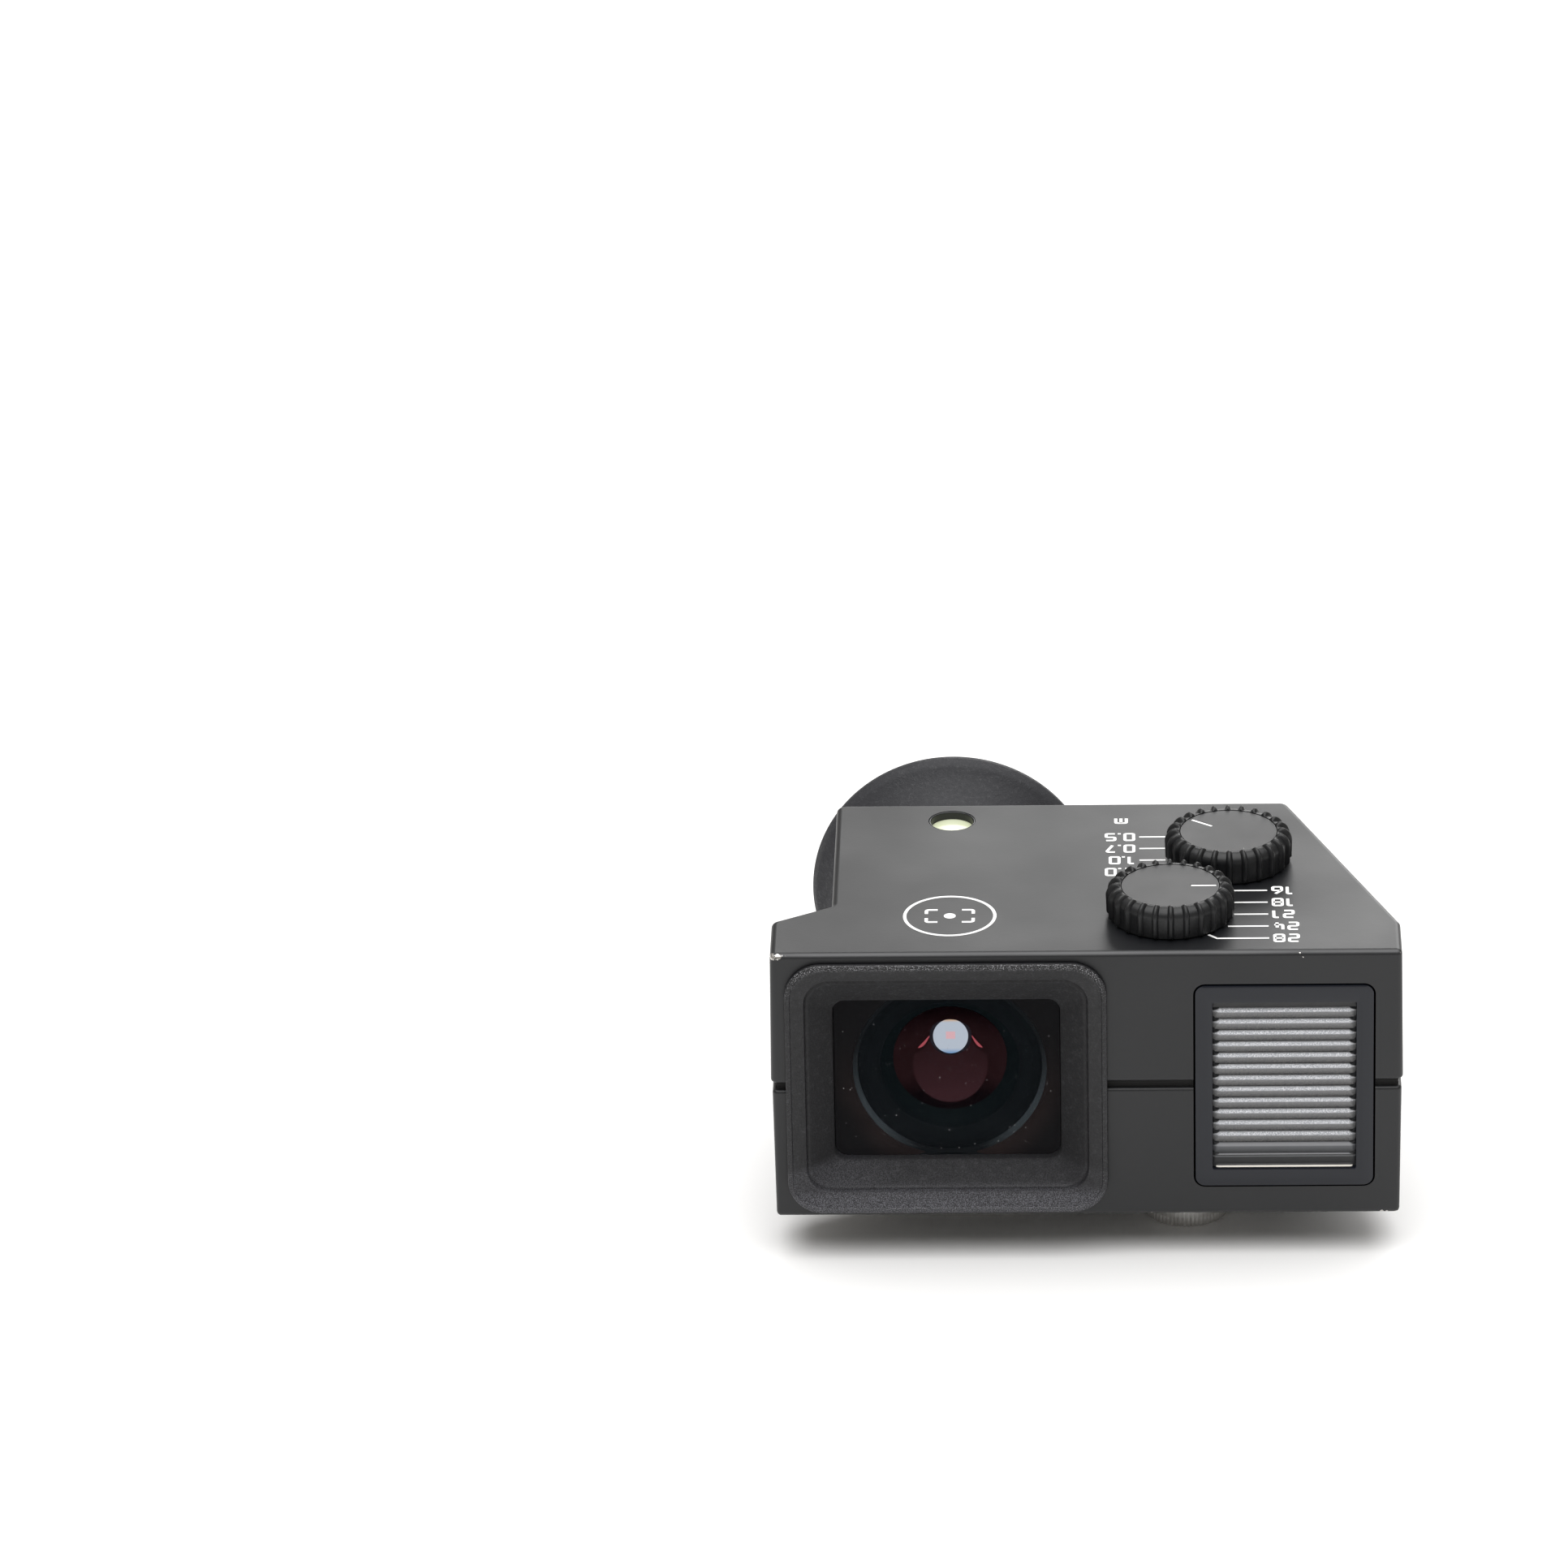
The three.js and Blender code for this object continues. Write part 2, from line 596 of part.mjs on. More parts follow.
const eye = eyepieceTube
const flangeFront = rear + 0.1
add('eyepiece_tube', turnedAlong([
  [eye.inner, eye.from], [eye.outer, eye.from], [eye.outer, flangeFront], [eye.flange, flangeFront],
  [eye.flange, eye.to], [eye.inner, eye.to], [eye.inner, eye.from],
]), blackAnodised)
const eyeLens = { from: 13.4, to: 17.4, curve: 22, aperture: 7.0 }
add('eyepiece_lens', turnedAlong([
  ...glassFace(eyeLens.from, eyeLens.curve, eyeLens.aperture, 1),
  ...glassFace(eyeLens.to, eyeLens.curve, eyeLens.aperture, -1, true),
]), clearGlass)
add('eyepiece_ring', turnedAlong([
  [6.6, rear + 1.1], [8.6, rear + 1.1], [8.6, rear + 2.8], [7.4, rear + 2.8], [6.6, rear + 1.6],
  [6.6, rear + 1.1],
]), blackAnodised)

const cupRim = 32.5
add('eyecup', turnedAlong([
  [8.9, rear + 1.2], [11.2, rear + 1.2], [11.4, 23.6], [12.4, 26.6], [14.2, 29.3],
  [16.0, 30.9], [16.3, 31.8], [15.9, cupRim], [15.2, cupRim], [13.2, 30.6], [11.0, 27.4],
  [9.8, 23.2], [8.9, 22.6], [8.9, rear + 1.2],
], 36), blackRubber)

// ---- Illumination window -----------------------------------------------------------------------

function atWindow(points, y0, y1) {
  return panel(points, y0, y1, windowCentre.x, windowCentre.z)
}

function outlineOf(plate) {
  return roundRectangle(plate.width, plate.height, plate.radius)
}

const paneHole = roundRectangle(ribbedPane.width + windowFit, ribbedPane.height + windowFit, windowFit)
add('window_plate', cut(
  join(
    atWindow(outlineOf(windowPlate), front + windowPlate.recess, front + windowPlate.depth),
    atWindow(outlineOf(windowFlange), front + windowPlate.depth - 0.3, front + 3.0),
  ),
  atWindow(paneHole, front - 1, front + 4),
), blackPlastic)

// A frosted pane whose face is a row of level ridges, one above the other.
const paneHalf = ribbedPane.height / 2
const ribPitch = ribbedPane.height / ribbedPane.ribs
const [crest, valley, paneBack] = [ribbedPane.crest, ribbedPane.valley, ribbedPane.back]
  .map(depth => front + depth)
const ridgeProfile = [
  [paneBack, -paneHalf],
  ...Array.from({ length: ribbedPane.ribs }, (_, rib) => {
    const low = -paneHalf + rib * ribPitch
    return [[valley, low], [crest, low + ribPitch * 0.3], [crest, low + ribPitch * 0.7]]
  }).flat(),
  [valley, paneHalf],
  [paneBack, paneHalf],
].reverse()
add('window_diffuser', slab(ridgeProfile, -ribbedPane.width / 2, ribbedPane.width / 2)
  .applyMatrix4(new THREE.Matrix4().set(
    0, 0, 1, windowCentre.x,
    1, 0, 0, 0,
    0, 1, 0, windowCentre.z,
    0, 0, 0, 1,
  )), frosted)

// ---- Spirit level ------------------------------------------------------------------------------

const vialTop = top - 1.2
const vial = { radius: 2.3, low: vialTop - 3.2 }
const holder = { inner: 2.5, outer: 2.85, low: vialTop - 4.2 }
add('level_vial', turnedUpright([
  [0, vial.low], [vial.radius, vial.low], [vial.radius, vialTop - 0.3], [1.2, vialTop - 0.08], [0, vialTop],
], levelEye.x, levelEye.y), vialGreen)
add('level_holder', turnedUpright([
  [0, holder.low], [holder.outer, holder.low], [holder.outer, innerRoof], [holder.inner, innerRoof],
  [holder.inner, vial.low], [0, vial.low],
], levelEye.x, levelEye.y), blackAnodised)

// ---- Knobs -------------------------------------------------------------------------------------

// The ribbed grip: an outline with rounded ribs, whose crest pulls in towards the top edge.
function gripRing(reach, z) {
  const step = 2 * Math.PI / knobRibs
  const wave = [[-0.5, 0], [-0.2, 1], [0.2, 1]]
  return Array.from({ length: knobRibs }, (_, rib) => wave.map(([part, height]) => {
    const angle = (rib + part) * step
    const radius = reach - knobRibDepth * (1 - height)
    return [radius * Math.cos(angle), radius * Math.sin(angle), z]
  })).flat()
}

function knobGrip(knob) {
  const low = top + knobGap
  const block = loft([
    gripRing(knobRadius - 0.1, low),
    gripRing(knobRadius, low + 0.3),
    gripRing(knobRadius - 0.1, knobTop - 0.9),
    gripRing(knobRadius - 0.45, knobTop - 0.35),
    gripRing(knobRadius - 1.0, knobTop),
  ]).translate(knob.x, knob.y, 0)
  return cut(
    block,
    post(knob.x, knob.y, knobCapRadius + looseFit, knobTop - 1, knobTop + 1, 28),
    post(knob.x, knob.y, spindleBore, low - 1, knobTop),
  )
}

// Everything that turns with a knob. `heading` is the way its pointer lies at rest, in radians.
function addKnob(label, knob, heading, spindleEnd) {
  add(`${label}_grip`, knobGrip(knob), blackRubber)
  add(`${label}_cap`, post(knob.x, knob.y, knobCapRadius, knobTop - 0.9, knobTop - 0.05, 28), blackEnamel)
  const pointer = box(
    knobPointer.from, knobPointer.to, -knobPointer.half, knobPointer.half, knobTop - 0.05, knobTop)
  add(`${label}_pointer`, pointer.rotateZ(heading).translate(knob.x, knob.y, 0), whiteFill)
  add(`${label}_spindle`, post(knob.x, knob.y, spindleRadius, spindleEnd, knobTop - 1.1), brass)
  add(`${label}_clip`, cut(
    washer(knob.x, knob.y, spindleBore, 3.0, innerRoof - 0.7, innerRoof - 0.3),
    box(knob.x - 0.9, knob.x + 0.9, knob.y, knob.y + 4, innerRoof - 1, innerRoof),
  ), brightSteel)
}

addKnob('focal', focalKnob, 0, 31)
addKnob('distance', distanceKnob, THREE.MathUtils.degToRad(180 - 37), 28.4)

// The click plate: a disc with a notch for each setting, and the leaf spring that drops into it.
const settings = [-2, -1, 0, 1, 2]
const detentPitch = Math.PI / 6
const detent = { low: 34.2, high: 35.0, radius: 5.2, notchAt: 5.3, notch: 0.7 }
const notches = settings.map(index => {
  const angle = Math.PI / 2 + index * detentPitch
  const x = focalKnob.x + detent.notchAt * Math.cos(angle)
  const y = focalKnob.y + detent.notchAt * Math.sin(angle)
  return post(x, y, detent.notch, detent.low - 1, detent.high + 1, 8)
})
add('focal_detent_plate', cut(
  washer(focalKnob.x, focalKnob.y, spindleBore, detent.radius, detent.low, detent.high, 28),
  ...notches,
), brass)
const leaf = { half: 4, low: focalKnob.y + 5.5, high: focalKnob.y + 5.8, nose: 0.35 }
const leafX = [focalKnob.x - leaf.half, focalKnob.x + leaf.half]
add('focal_detent_spring', join(
  box(leafX[0], leafX[1], leaf.low, leaf.high, detent.low, detent.high),
  post(focalKnob.x, leaf.low + 0.14, leaf.nose, detent.low, detent.high, 10),
  box(leafX[1] - 0.4, leafX[1], leaf.low, leaf.high, detent.low, innerRoof),
), brightSteel)
const waveWasher = washer(distanceKnob.x, distanceKnob.y, spindleBore, 3.4, 34.6, 34.9)
add('distance_wave_washer', waveWasher, brightSteel)

// ---- Focal setting: pinion, rack and frame mask ------------------------------------------------

const focalPitchRadius = gearModule * focalPinionTeeth / 2
const halfTooth = Math.PI / focalPinionTeeth
const rackLow = 32.6

// The pinion is turned so that a tooth gap faces the rack, on the -Y side.
const focalPinion = slab(gearOutline(focalPinionTeeth), rackLow, rackLow + 1.3)
  .rotateZ(-Math.PI / 2 + halfTooth)
  .translate(focalKnob.x, focalKnob.y, 0)
add('focal_pinion', cut(focalPinion, post(focalKnob.x, focalKnob.y, spindleBore, 31, 34)), brass)

const rackLine = focalKnob.y - focalPitchRadius
const rackRoot = rackLine - gearModule * 1.05
const maskPitch = focalPitchRadius * detentPitch
const rackEnds = [focalKnob.x - 7.2, focalKnob.x + 16]
const rackBar = slab([
  [rackEnds[0], rackRoot - 0.6],
  [rackEnds[1], rackRoot - 0.6],
  [rackEnds[1], rackRoot],
  ...rackTeeth(rackEnds[0] + 0.6, rackEnds[1] - 0.6, focalKnob.x, gearModule * 1.8)
    .map(([x, y]) => [x, rackRoot + y]).reverse(),
  [rackEnds[0], rackRoot],
], rackLow, rackLow + 1.2)
const maskHalf = 2.5 * maskPitch
const maskLow = 14.5
const maskPlate = box(
  lightPath.x - maskHalf, lightPath.x + maskHalf, rackRoot - 0.6, rackRoot - 0.2, maskLow, rackLow + 0.2)
const frames = settings.map(index => {
  const x = lightPath.x + index * maskPitch
  const height = 9 - index
  return box(x - 0.9, x + 0.9, rackRoot - 1, rackRoot + 1, axisHeight - height / 2, axisHeight + height / 2)
})
add('frame_slide', cut(join(rackBar, maskPlate), ...frames), blackAnodised)

// ---- Distance setting: face cam over the mirror carrier's arm ----------------------------------

// The cam's underside climbs evenly round one turn, with its step on the side away from the arm.
const camRadius = 4.4
const camRise = 0.16              // climb per radian, at the arm's distance from the mirror pivot
const armInCam = new THREE.Vector2(-4.2, 5.2).rotateAround(new THREE.Vector2(), mirrorTurn)
  .add(new THREE.Vector2(lightPath.x - distanceKnob.x, lightPath.y - distanceKnob.y))
const armHeading = armInCam.angle()

function camRing(radius, level) {
  const steps = 24
  return Array.from({ length: steps }, (_, step) => {
    const lead = (step / (steps - 1) - 0.5) * (2 * Math.PI - 0.3)
    const angle = armHeading + lead
    return [radius * Math.cos(angle), radius * Math.sin(angle), level(lead)]
  })
}

const camTop = 32.4
const camFace = camRing(camRadius, lead => armTop + 0.35 - camRise * lead)
const cam = loft([camFace, camRing(camRadius, () => camTop)])
add('parallax_cam', cut(
  cam.translate(distanceKnob.x, distanceKnob.y, 0),
  post(distanceKnob.x, distanceKnob.y, spindleBore, 27, 34),
), brass)

// ---- Shoe foot and its lock --------------------------------------------------------------------

const footHalf = footSize.width / 2
const footEnd = footSize.length / 2
const neckHalf = footSize.neckWidth / 2
const footSink = 1.0
const pinHole = post(lockPin.x, lockPin.y, lockPin.radius + looseFit, -1, bottom + 1)
const footHoles = footScrews.map(({ x, y }) => post(x, y, footPost.bore, -1, bottom + 1, 10))
const footRecesses = footScrews.map(({ x, y }) => post(x, y, footPost.radius, -1, footSink))
const footPlan = [
  [-footHalf, -footEnd + footSize.chamfer],
  [-footHalf + footSize.chamfer, -footEnd],
  [footHalf - footSize.chamfer, -footEnd],
  [footHalf, -footEnd + footSize.chamfer],
  [footHalf, footEnd],
  [-footHalf, footEnd],
]
const footSole = slab(footPlan, 0, footSize.thickness)
add('foot_plate', cut(footSole, pinHole, ...footHoles, ...footRecesses), brightSteel)
add('foot_neck', cut(
  box(-neckHalf, neckHalf, -footEnd, footEnd, footSize.thickness, bottom),
  pinHole,
  ...footHoles,
), blackAnodised)
footScrews.forEach(({ x, y }, index) => {
  add(`foot_screw_${index + 1}`, screw(x, y, 1.3, 0.15, footSink, 0.6, footPost.top - 0.5), brightSteel)
})

const wheelTop = bottom - 0.4
add('lock_wheel', cut(
  turnedUpright([
    [0, 0], [lockWheel.radius - 0.4, 0], [lockWheel.radius, 0.4], [lockWheel.radius, wheelTop - 0.2],
    [lockWheel.radius - 0.2, wheelTop], [0, wheelTop],
  ], lockWheel.x, lockWheel.y, 36),
  post(lockWheel.x, lockWheel.y, lockSpindleRadius + looseFit, 1.5, wheelTop + 1),
), brightSteel)
add('lock_spindle', post(lockWheel.x, lockWheel.y, lockSpindleRadius, 1.8, 8.9), brightSteel)
const lockPitchRadius = gearModule * lockPinionTeeth / 2
const lockGear = slab(gearOutline(lockPinionTeeth), 6.9, 8.5)
  .rotateZ(Math.PI / 2 + Math.PI / lockPinionTeeth)
  .translate(lockWheel.x, lockWheel.y, 0)
const lockBore = post(lockWheel.x, lockWheel.y, lockSpindleRadius + looseFit, 6, 9)
add('lock_pinion', cut(lockGear, lockBore), brass)

// The slider: a rack beside the pinion, and a wedge that comes over the pin's head.
const sliderRoot = lockWheel.y + lockPitchRadius + gearModule * 1.05
const sliderBack = -1.2
const lockTurn = Math.PI / 2
const sliderTravel = lockPitchRadius * lockTurn
const pinTravel = 1.2
const sliderLow = 6.75
const sliderHigh = 8.7
const sliderTip = lockPin.x - 1.4
const sliderTail = lockWheel.x + sliderTravel + 4
const sliderPlan = [
  [sliderTip, sliderRoot],
  ...rackTeeth(lockWheel.x - 3.2, sliderTail - 0.8, lockWheel.x, gearModule * 1.8)
    .map(([x, y]) => [x, sliderRoot - y]),
  [sliderTail, sliderRoot],
  [sliderTail, sliderBack],
  [sliderTip, sliderBack],
]
const wedgeSlope = pinTravel / sliderTravel
const wedgeLow = x => sliderLow + pinTravel + 0.05 - wedgeSlope * (x - lockPin.x)
const wedgeEnd = lockPin.x + sliderTravel + 0.3
const wedgeCut = slab([
  [sliderTip - 1, 5], [wedgeEnd, 5], [wedgeEnd, wedgeLow(wedgeEnd)], [sliderTip - 1, wedgeLow(sliderTip - 1)],
], -sliderBack - 3, 6).rotateX(Math.PI / 2)
add('lock_slider', cut(slab(sliderPlan, sliderLow, sliderHigh), wedgeCut), brightSteel)
add('lock_pin', turnedUpright([
  [0, 0.15], [lockPin.radius - 0.3, 0.15], [lockPin.radius, 0.5], [lockPin.radius, 7.2],
  [lockPin.radius - 0.5, 7.6], [0, 7.6],
], lockPin.x, lockPin.y, 12), brightSteel)

export default viewfinder
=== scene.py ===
import json
import math
import bmesh
import bpy
import numpy as np
from mathutils import Matrix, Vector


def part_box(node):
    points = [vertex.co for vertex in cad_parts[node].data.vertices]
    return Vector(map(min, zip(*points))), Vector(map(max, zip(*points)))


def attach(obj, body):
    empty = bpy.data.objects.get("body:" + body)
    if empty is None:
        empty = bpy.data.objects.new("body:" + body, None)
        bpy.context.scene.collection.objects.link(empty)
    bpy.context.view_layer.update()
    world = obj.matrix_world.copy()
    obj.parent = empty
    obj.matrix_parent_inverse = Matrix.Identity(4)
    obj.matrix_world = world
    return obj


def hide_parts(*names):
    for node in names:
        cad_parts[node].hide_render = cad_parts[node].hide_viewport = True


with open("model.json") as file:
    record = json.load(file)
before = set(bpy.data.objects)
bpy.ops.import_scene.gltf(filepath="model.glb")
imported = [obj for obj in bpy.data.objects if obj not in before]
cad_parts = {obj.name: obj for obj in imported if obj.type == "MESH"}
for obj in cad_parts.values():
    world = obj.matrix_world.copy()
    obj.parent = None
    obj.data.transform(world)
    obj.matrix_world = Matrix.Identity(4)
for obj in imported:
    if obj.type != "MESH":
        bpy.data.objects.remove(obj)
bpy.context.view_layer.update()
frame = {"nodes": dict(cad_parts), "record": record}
mm = 0.001  # every size below is in millimetres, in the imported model's frame


def spanOf(node):
    # lowest and highest corner of a CAD node, in millimetres
    low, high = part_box(node)
    return np.array(low) / mm, np.array(high) / mm


def middleOf(node):
    low, high = spanOf(node)
    return (low + high) / 2


shellLow = spanOf("lower_shell")[0]
shellHigh = spanOf("upper_shell")[1]
left, front = spanOf("upper_shell")[0][:2]
right, rear, top = shellHigh
bottom = shellLow[2]
seam = spanOf("upper_shell")[0][2]
axisHeight = middleOf("eyepiece_tube")[2]
bezelMiddle = middleOf("front_bezel")
windowMiddle = middleOf("window_plate")
levelMiddle = middleOf("level_vial")
focalMiddle = middleOf("focal_grip")
distanceMiddle = middleOf("distance_grip")
wheelMiddle = middleOf("lock_wheel")


cameraPlace = {
    "place": (17.38, -984.70, 503.39),   # millimetres
    "pitch": 24.753,  # degrees down
    "yaw": -2.073,
    "roll": 1.309,
    "lens": 223.6,
}


def addCamera(setup):
    # looks along +Y, turned by yaw about Z, tipped down by pitch and rolled about its own axis
    camera = bpy.data.objects.new("camera", bpy.data.cameras.new("camera"))
    camera.data.lens = setup["lens"]
    camera.data.sensor_width = 36
    camera.data.clip_start = 0.01
    camera.data.clip_end = 20
    turn = Matrix.Rotation(math.radians(-setup["yaw"]), 4, "Z")
    tip = Matrix.Rotation(math.radians(90 - setup["pitch"]), 4, "X")
    roll = Matrix.Rotation(math.radians(-setup["roll"]), 4, "Z")
    camera.matrix_world = Matrix.Translation([value * mm for value in setup["place"]]) @ turn @ tip @ roll
    bpy.context.scene.collection.objects.link(camera)
    bpy.context.scene.camera = camera


lightSetup = {
    "sky": 0.36,
    "skyColour": (1, 0.965, 0.91, 1),
    "floorSize": 12,
    "paper": {"Base Color": (0.93, 0.93, 0.93, 1), "Roughness": 0.6, "Specular IOR Level": 0.2},
    "overhead": {"place": (0.0, -0.12, 0.95), "aim": (0.015, 0.0, 0), "size": 1.5, "power": 16},
    "back": {"place": (0.35, 1.5, 0.62), "aim": (0.015, 0, 0.02), "size": 1.0, "power": 8.3},
}


def addLight(name, setup):
    light = bpy.data.objects.new(name, bpy.data.lights.new(name, "AREA"))
    light.data.shape = "DISK"
    light.data.size = setup["size"]
    light.data.energy = setup["power"]
    aim = Matrix.Translation(setup["aim"]).translation - Matrix.Translation(setup["place"]).translation
    turn = aim.to_track_quat("-Z", "Y").to_matrix().to_4x4()
    light.matrix_world = Matrix.Translation(setup["place"]) @ turn
    bpy.context.scene.collection.objects.link(light)


def addStudio(setup):
    world = bpy.data.worlds.new("studio")
    bpy.context.scene.world = world
    world.use_nodes = True
    sky = world.node_tree.nodes["Background"]
    sky.inputs["Color"].default_value = setup["skyColour"]
    sky.inputs["Strength"].default_value = setup["sky"]
    addLight("overhead", setup["overhead"])
    addLight("back", setup["back"])
    bpy.ops.mesh.primitive_plane_add(size=setup["floorSize"], location=(0, 0, -0.00002))
    floor = bpy.context.object
    floor.name = "floor"
    paper = bpy.data.materials.new("paper")
    paper.use_nodes = True
    shader = paper.node_tree.nodes["Principled BSDF"]
    for label, value in setup["paper"].items():
        shader.inputs[label].default_value = value
    floor.data.materials.append(paper)
    bpy.context.scene.view_settings.view_transform = "Standard"


addCamera(cameraPlace)
addStudio(lightSetup)
print("stage: camera, floor and light")


class Shading:
    # adds nodes to one tree; a result is a (node, output) pair, which any input here takes in place of a
    # value

    def __init__(self, tree, end):
        self.tree = tree
        self.end = end    # the node whose inputs feed fills

    def join(self, value, socket):
        if isinstance(value, tuple) and isinstance(value[0], bpy.types.Node):
            self.tree.links.new(value[0].outputs[value[1]], socket)
        else:
            socket.default_value = (*value, 1) if socket.type == "RGBA" else value

    def add(self, kind, output=0, settings=None, **inputs):
        # an input is named by its label, or by i and its index
        node = self.tree.nodes.new(kind)
        for key, value in (settings or {}).items():
            setattr(node, key, value)
        for label, value in inputs.items():
            self.join(value, node.inputs[int(label[1:]) if label[1:].isdigit() else label])
        return node, output

    def use(self, group, **inputs):
        return self.add("ShaderNodeGroup", 0, {"node_tree": group}, **inputs)[0]

    def feed(self, label, value):
        self.join(value, self.end.inputs[label])

    def math(self, operation, first, second=0.0):
        return self.add("ShaderNodeMath", 0, {"operation": operation}, i0=first, i1=second)

    def minus(self, first, second):
        return self.math("SUBTRACT", first, second)

    def product(self, first, *others):
        for other in others:
            first = self.math("MULTIPLY", first, other)
        return first

    def ramp(self, value, low, high, lowOut=0.0, highOut=1.0):
        return self.add("ShaderNodeMapRange", Value=value, i1=low, i2=high, i3=lowOut, i4=highOut)

    def slope(self, coordinate, start, end, lowOut=0.0, highOut=1.0):
        # a ramp along a coordinate, with its ends in millimetres
        return self.ramp(coordinate, start * mm, end * mm, lowOut, highOut)

    def off(self, coordinate, middle):
        # how far a coordinate is from a middle in millimetres, on either side
        return self.math("ABSOLUTE", self.minus(coordinate, middle * mm))

    def within(self, coordinate, middle, half):
        return self.math("LESS_THAN", self.off(coordinate, middle), half * mm)

    def axes(self, vector):
        node = self.add("ShaderNodeSeparateXYZ", Vector=vector)[0]
        return (node, 0), (node, 1), (node, 2)

    def length(self, across, upward):
        flat = self.add("ShaderNodeCombineXYZ", X=across, Y=upward)
        return self.add("ShaderNodeVectorMath", "Value", {"operation": "LENGTH"}, i0=flat)

    def noise(self, vector, scale, detail):
        return self.add("ShaderNodeTexNoise", Vector=vector, Scale=scale, Detail=detail)

    def mix(self, factor, first, second):
        return self.add("ShaderNodeMix", 2, {"data_type": "RGBA"}, i0=factor, i6=first, i7=second)

    def blend(self, factor, first, second):
        return self.add("ShaderNodeMix", i0=factor, i2=first, i3=second)

    def rings(self, place, centre, pitch):
        # lathe rings about an upright axis through a centre, both in millimetres
        moved = self.add("ShaderNodeMapping", Vector=place, Location=[-value * mm for value in centre])
        return self.use(turningGroup, Vector=moved, Pitch=pitch * mm), 0

    def bump(self, height, strength, distance):
        bump = self.add("ShaderNodeBump", Strength=strength, Distance=distance * mm, Height=height)
        self.feed("Normal", bump)


def newGroup(name, inputs, outputs):
    # an empty node group and its input sources; a start value of three numbers stands for a vector
    group = bpy.data.node_groups.new(name, "ShaderNodeTree")
    for label, value in inputs.items():
        kind = "NodeSocketVector" if isinstance(value, tuple) else "NodeSocketFloat"
        group.interface.new_socket(label, in_out="INPUT", socket_type=kind).default_value = value
    for label in outputs:
        group.interface.new_socket(label, in_out="OUTPUT", socket_type="NodeSocketFloat")
    start, end = group.nodes.new("NodeGroupInput"), group.nodes.new("NodeGroupOutput")
    return Shading(group, end), [(start, label) for label in inputs]


def makeGrainGroup():
    # moulded grain: two sizes of noise, as a height, and a mask of its high points
    nodes, (vector, scale, share) = newGroup(
        "moulded grain", {"Vector": (0, 0, 0), "Scale": 4000.0, "Coarse Share": 0.4}, ["Height", "Peaks"])
    coarse = nodes.noise(vector, nodes.product(scale, 0.3), 1.0)
    height = nodes.blend(share, nodes.noise(vector, scale, 2.0), coarse)
    nodes.feed("Height", height)
    nodes.feed("Peaks", nodes.ramp(height, 0.55, 0.75))
    return nodes.tree


def makeDustGroup():
    # sparse specks: a random few of the cells, each with a small round dot at its middle
    nodes, (vector, scale, share, dot) = newGroup(
        "dust specks", {"Vector": (0, 0, 0), "Scale": 500.0, "Share": 0.02, "Dot": 0.05}, ["Mask"])
    cells = nodes.add("ShaderNodeTexVoronoi", Vector=vector, Scale=scale)[0]
    chance = nodes.add("ShaderNodeSeparateColor", Color=(cells, "Color"))[0]
    picked = nodes.math("LESS_THAN", (chance, 0), share)
    near = nodes.math("LESS_THAN", (cells, "Distance"), nodes.product((chance, 1), dot))
    nodes.feed("Mask", nodes.product(picked, near))
    return nodes.tree


def makeChipGroup():
    # one worn spot: a ball about a centre, its edge broken up by noise
    nodes, (vector, centre, radius, ragged) = newGroup(
        "chip", {"Vector": (0, 0, 0), "Centre": (0, 0, 0), "Radius": 0.0005, "Ragged": 0.0006}, ["Mask"])
    away = nodes.add("ShaderNodeVectorMath", "Value", {"operation": "DISTANCE"}, i0=vector, i1=centre)
    shift = nodes.product(nodes.minus(nodes.noise(vector, 3200.0, 3.0), 0.5), ragged)
    nodes.feed("Mask", nodes.math("LESS_THAN", nodes.math("ADD", away, shift), radius))
    return nodes.tree


def makeTurningGroup():
    # fine rings left by a lathe, about the axis through the origin of the vector, along Z
    nodes, (vector, pitch) = newGroup("turning rings", {"Vector": (0, 0, 0), "Pitch": 0.00005}, ["Height"])
    x, y, z = nodes.axes(vector)
    turns = nodes.math("DIVIDE", nodes.math("ADD", nodes.length(x, y), z), pitch)
    nodes.feed("Height", nodes.add(
        "ShaderNodeTexNoise", 0, {"noise_dimensions": "1D"}, W=turns, Scale=1.0, Detail=2.0))
    return nodes.tree


def makeSparkleGroup():
    # frosting: tiny bright grains over a soft cloud
    nodes, (vector, scale) = newGroup(
        "frosting", {"Vector": (0, 0, 0), "Scale": 9000.0}, ["Grains", "Cloud"])
    nodes.feed("Grains", nodes.ramp(nodes.noise(vector, scale, 3.0), 0.42, 0.62))
    nodes.feed("Cloud", nodes.noise(vector, 450.0, 2.0))
    return nodes.tree


grainGroup = makeGrainGroup()
dustGroup = makeDustGroup()
chipGroup = makeChipGroup()
turningGroup = makeTurningGroup()
sparkleGroup = makeSparkleGroup()


def startMaterial(name, values):
    # a Principled material with its even values set on the shader's own sockets, and its Object coordinates
    material = bpy.data.materials.new(name)
    material.use_nodes = True
    nodes = Shading(material.node_tree, material.node_tree.nodes["Principled BSDF"])
    for label, value in values.items():
        nodes.feed(label, value)
    return material, nodes, nodes.add("ShaderNodeTexCoord", "Object")


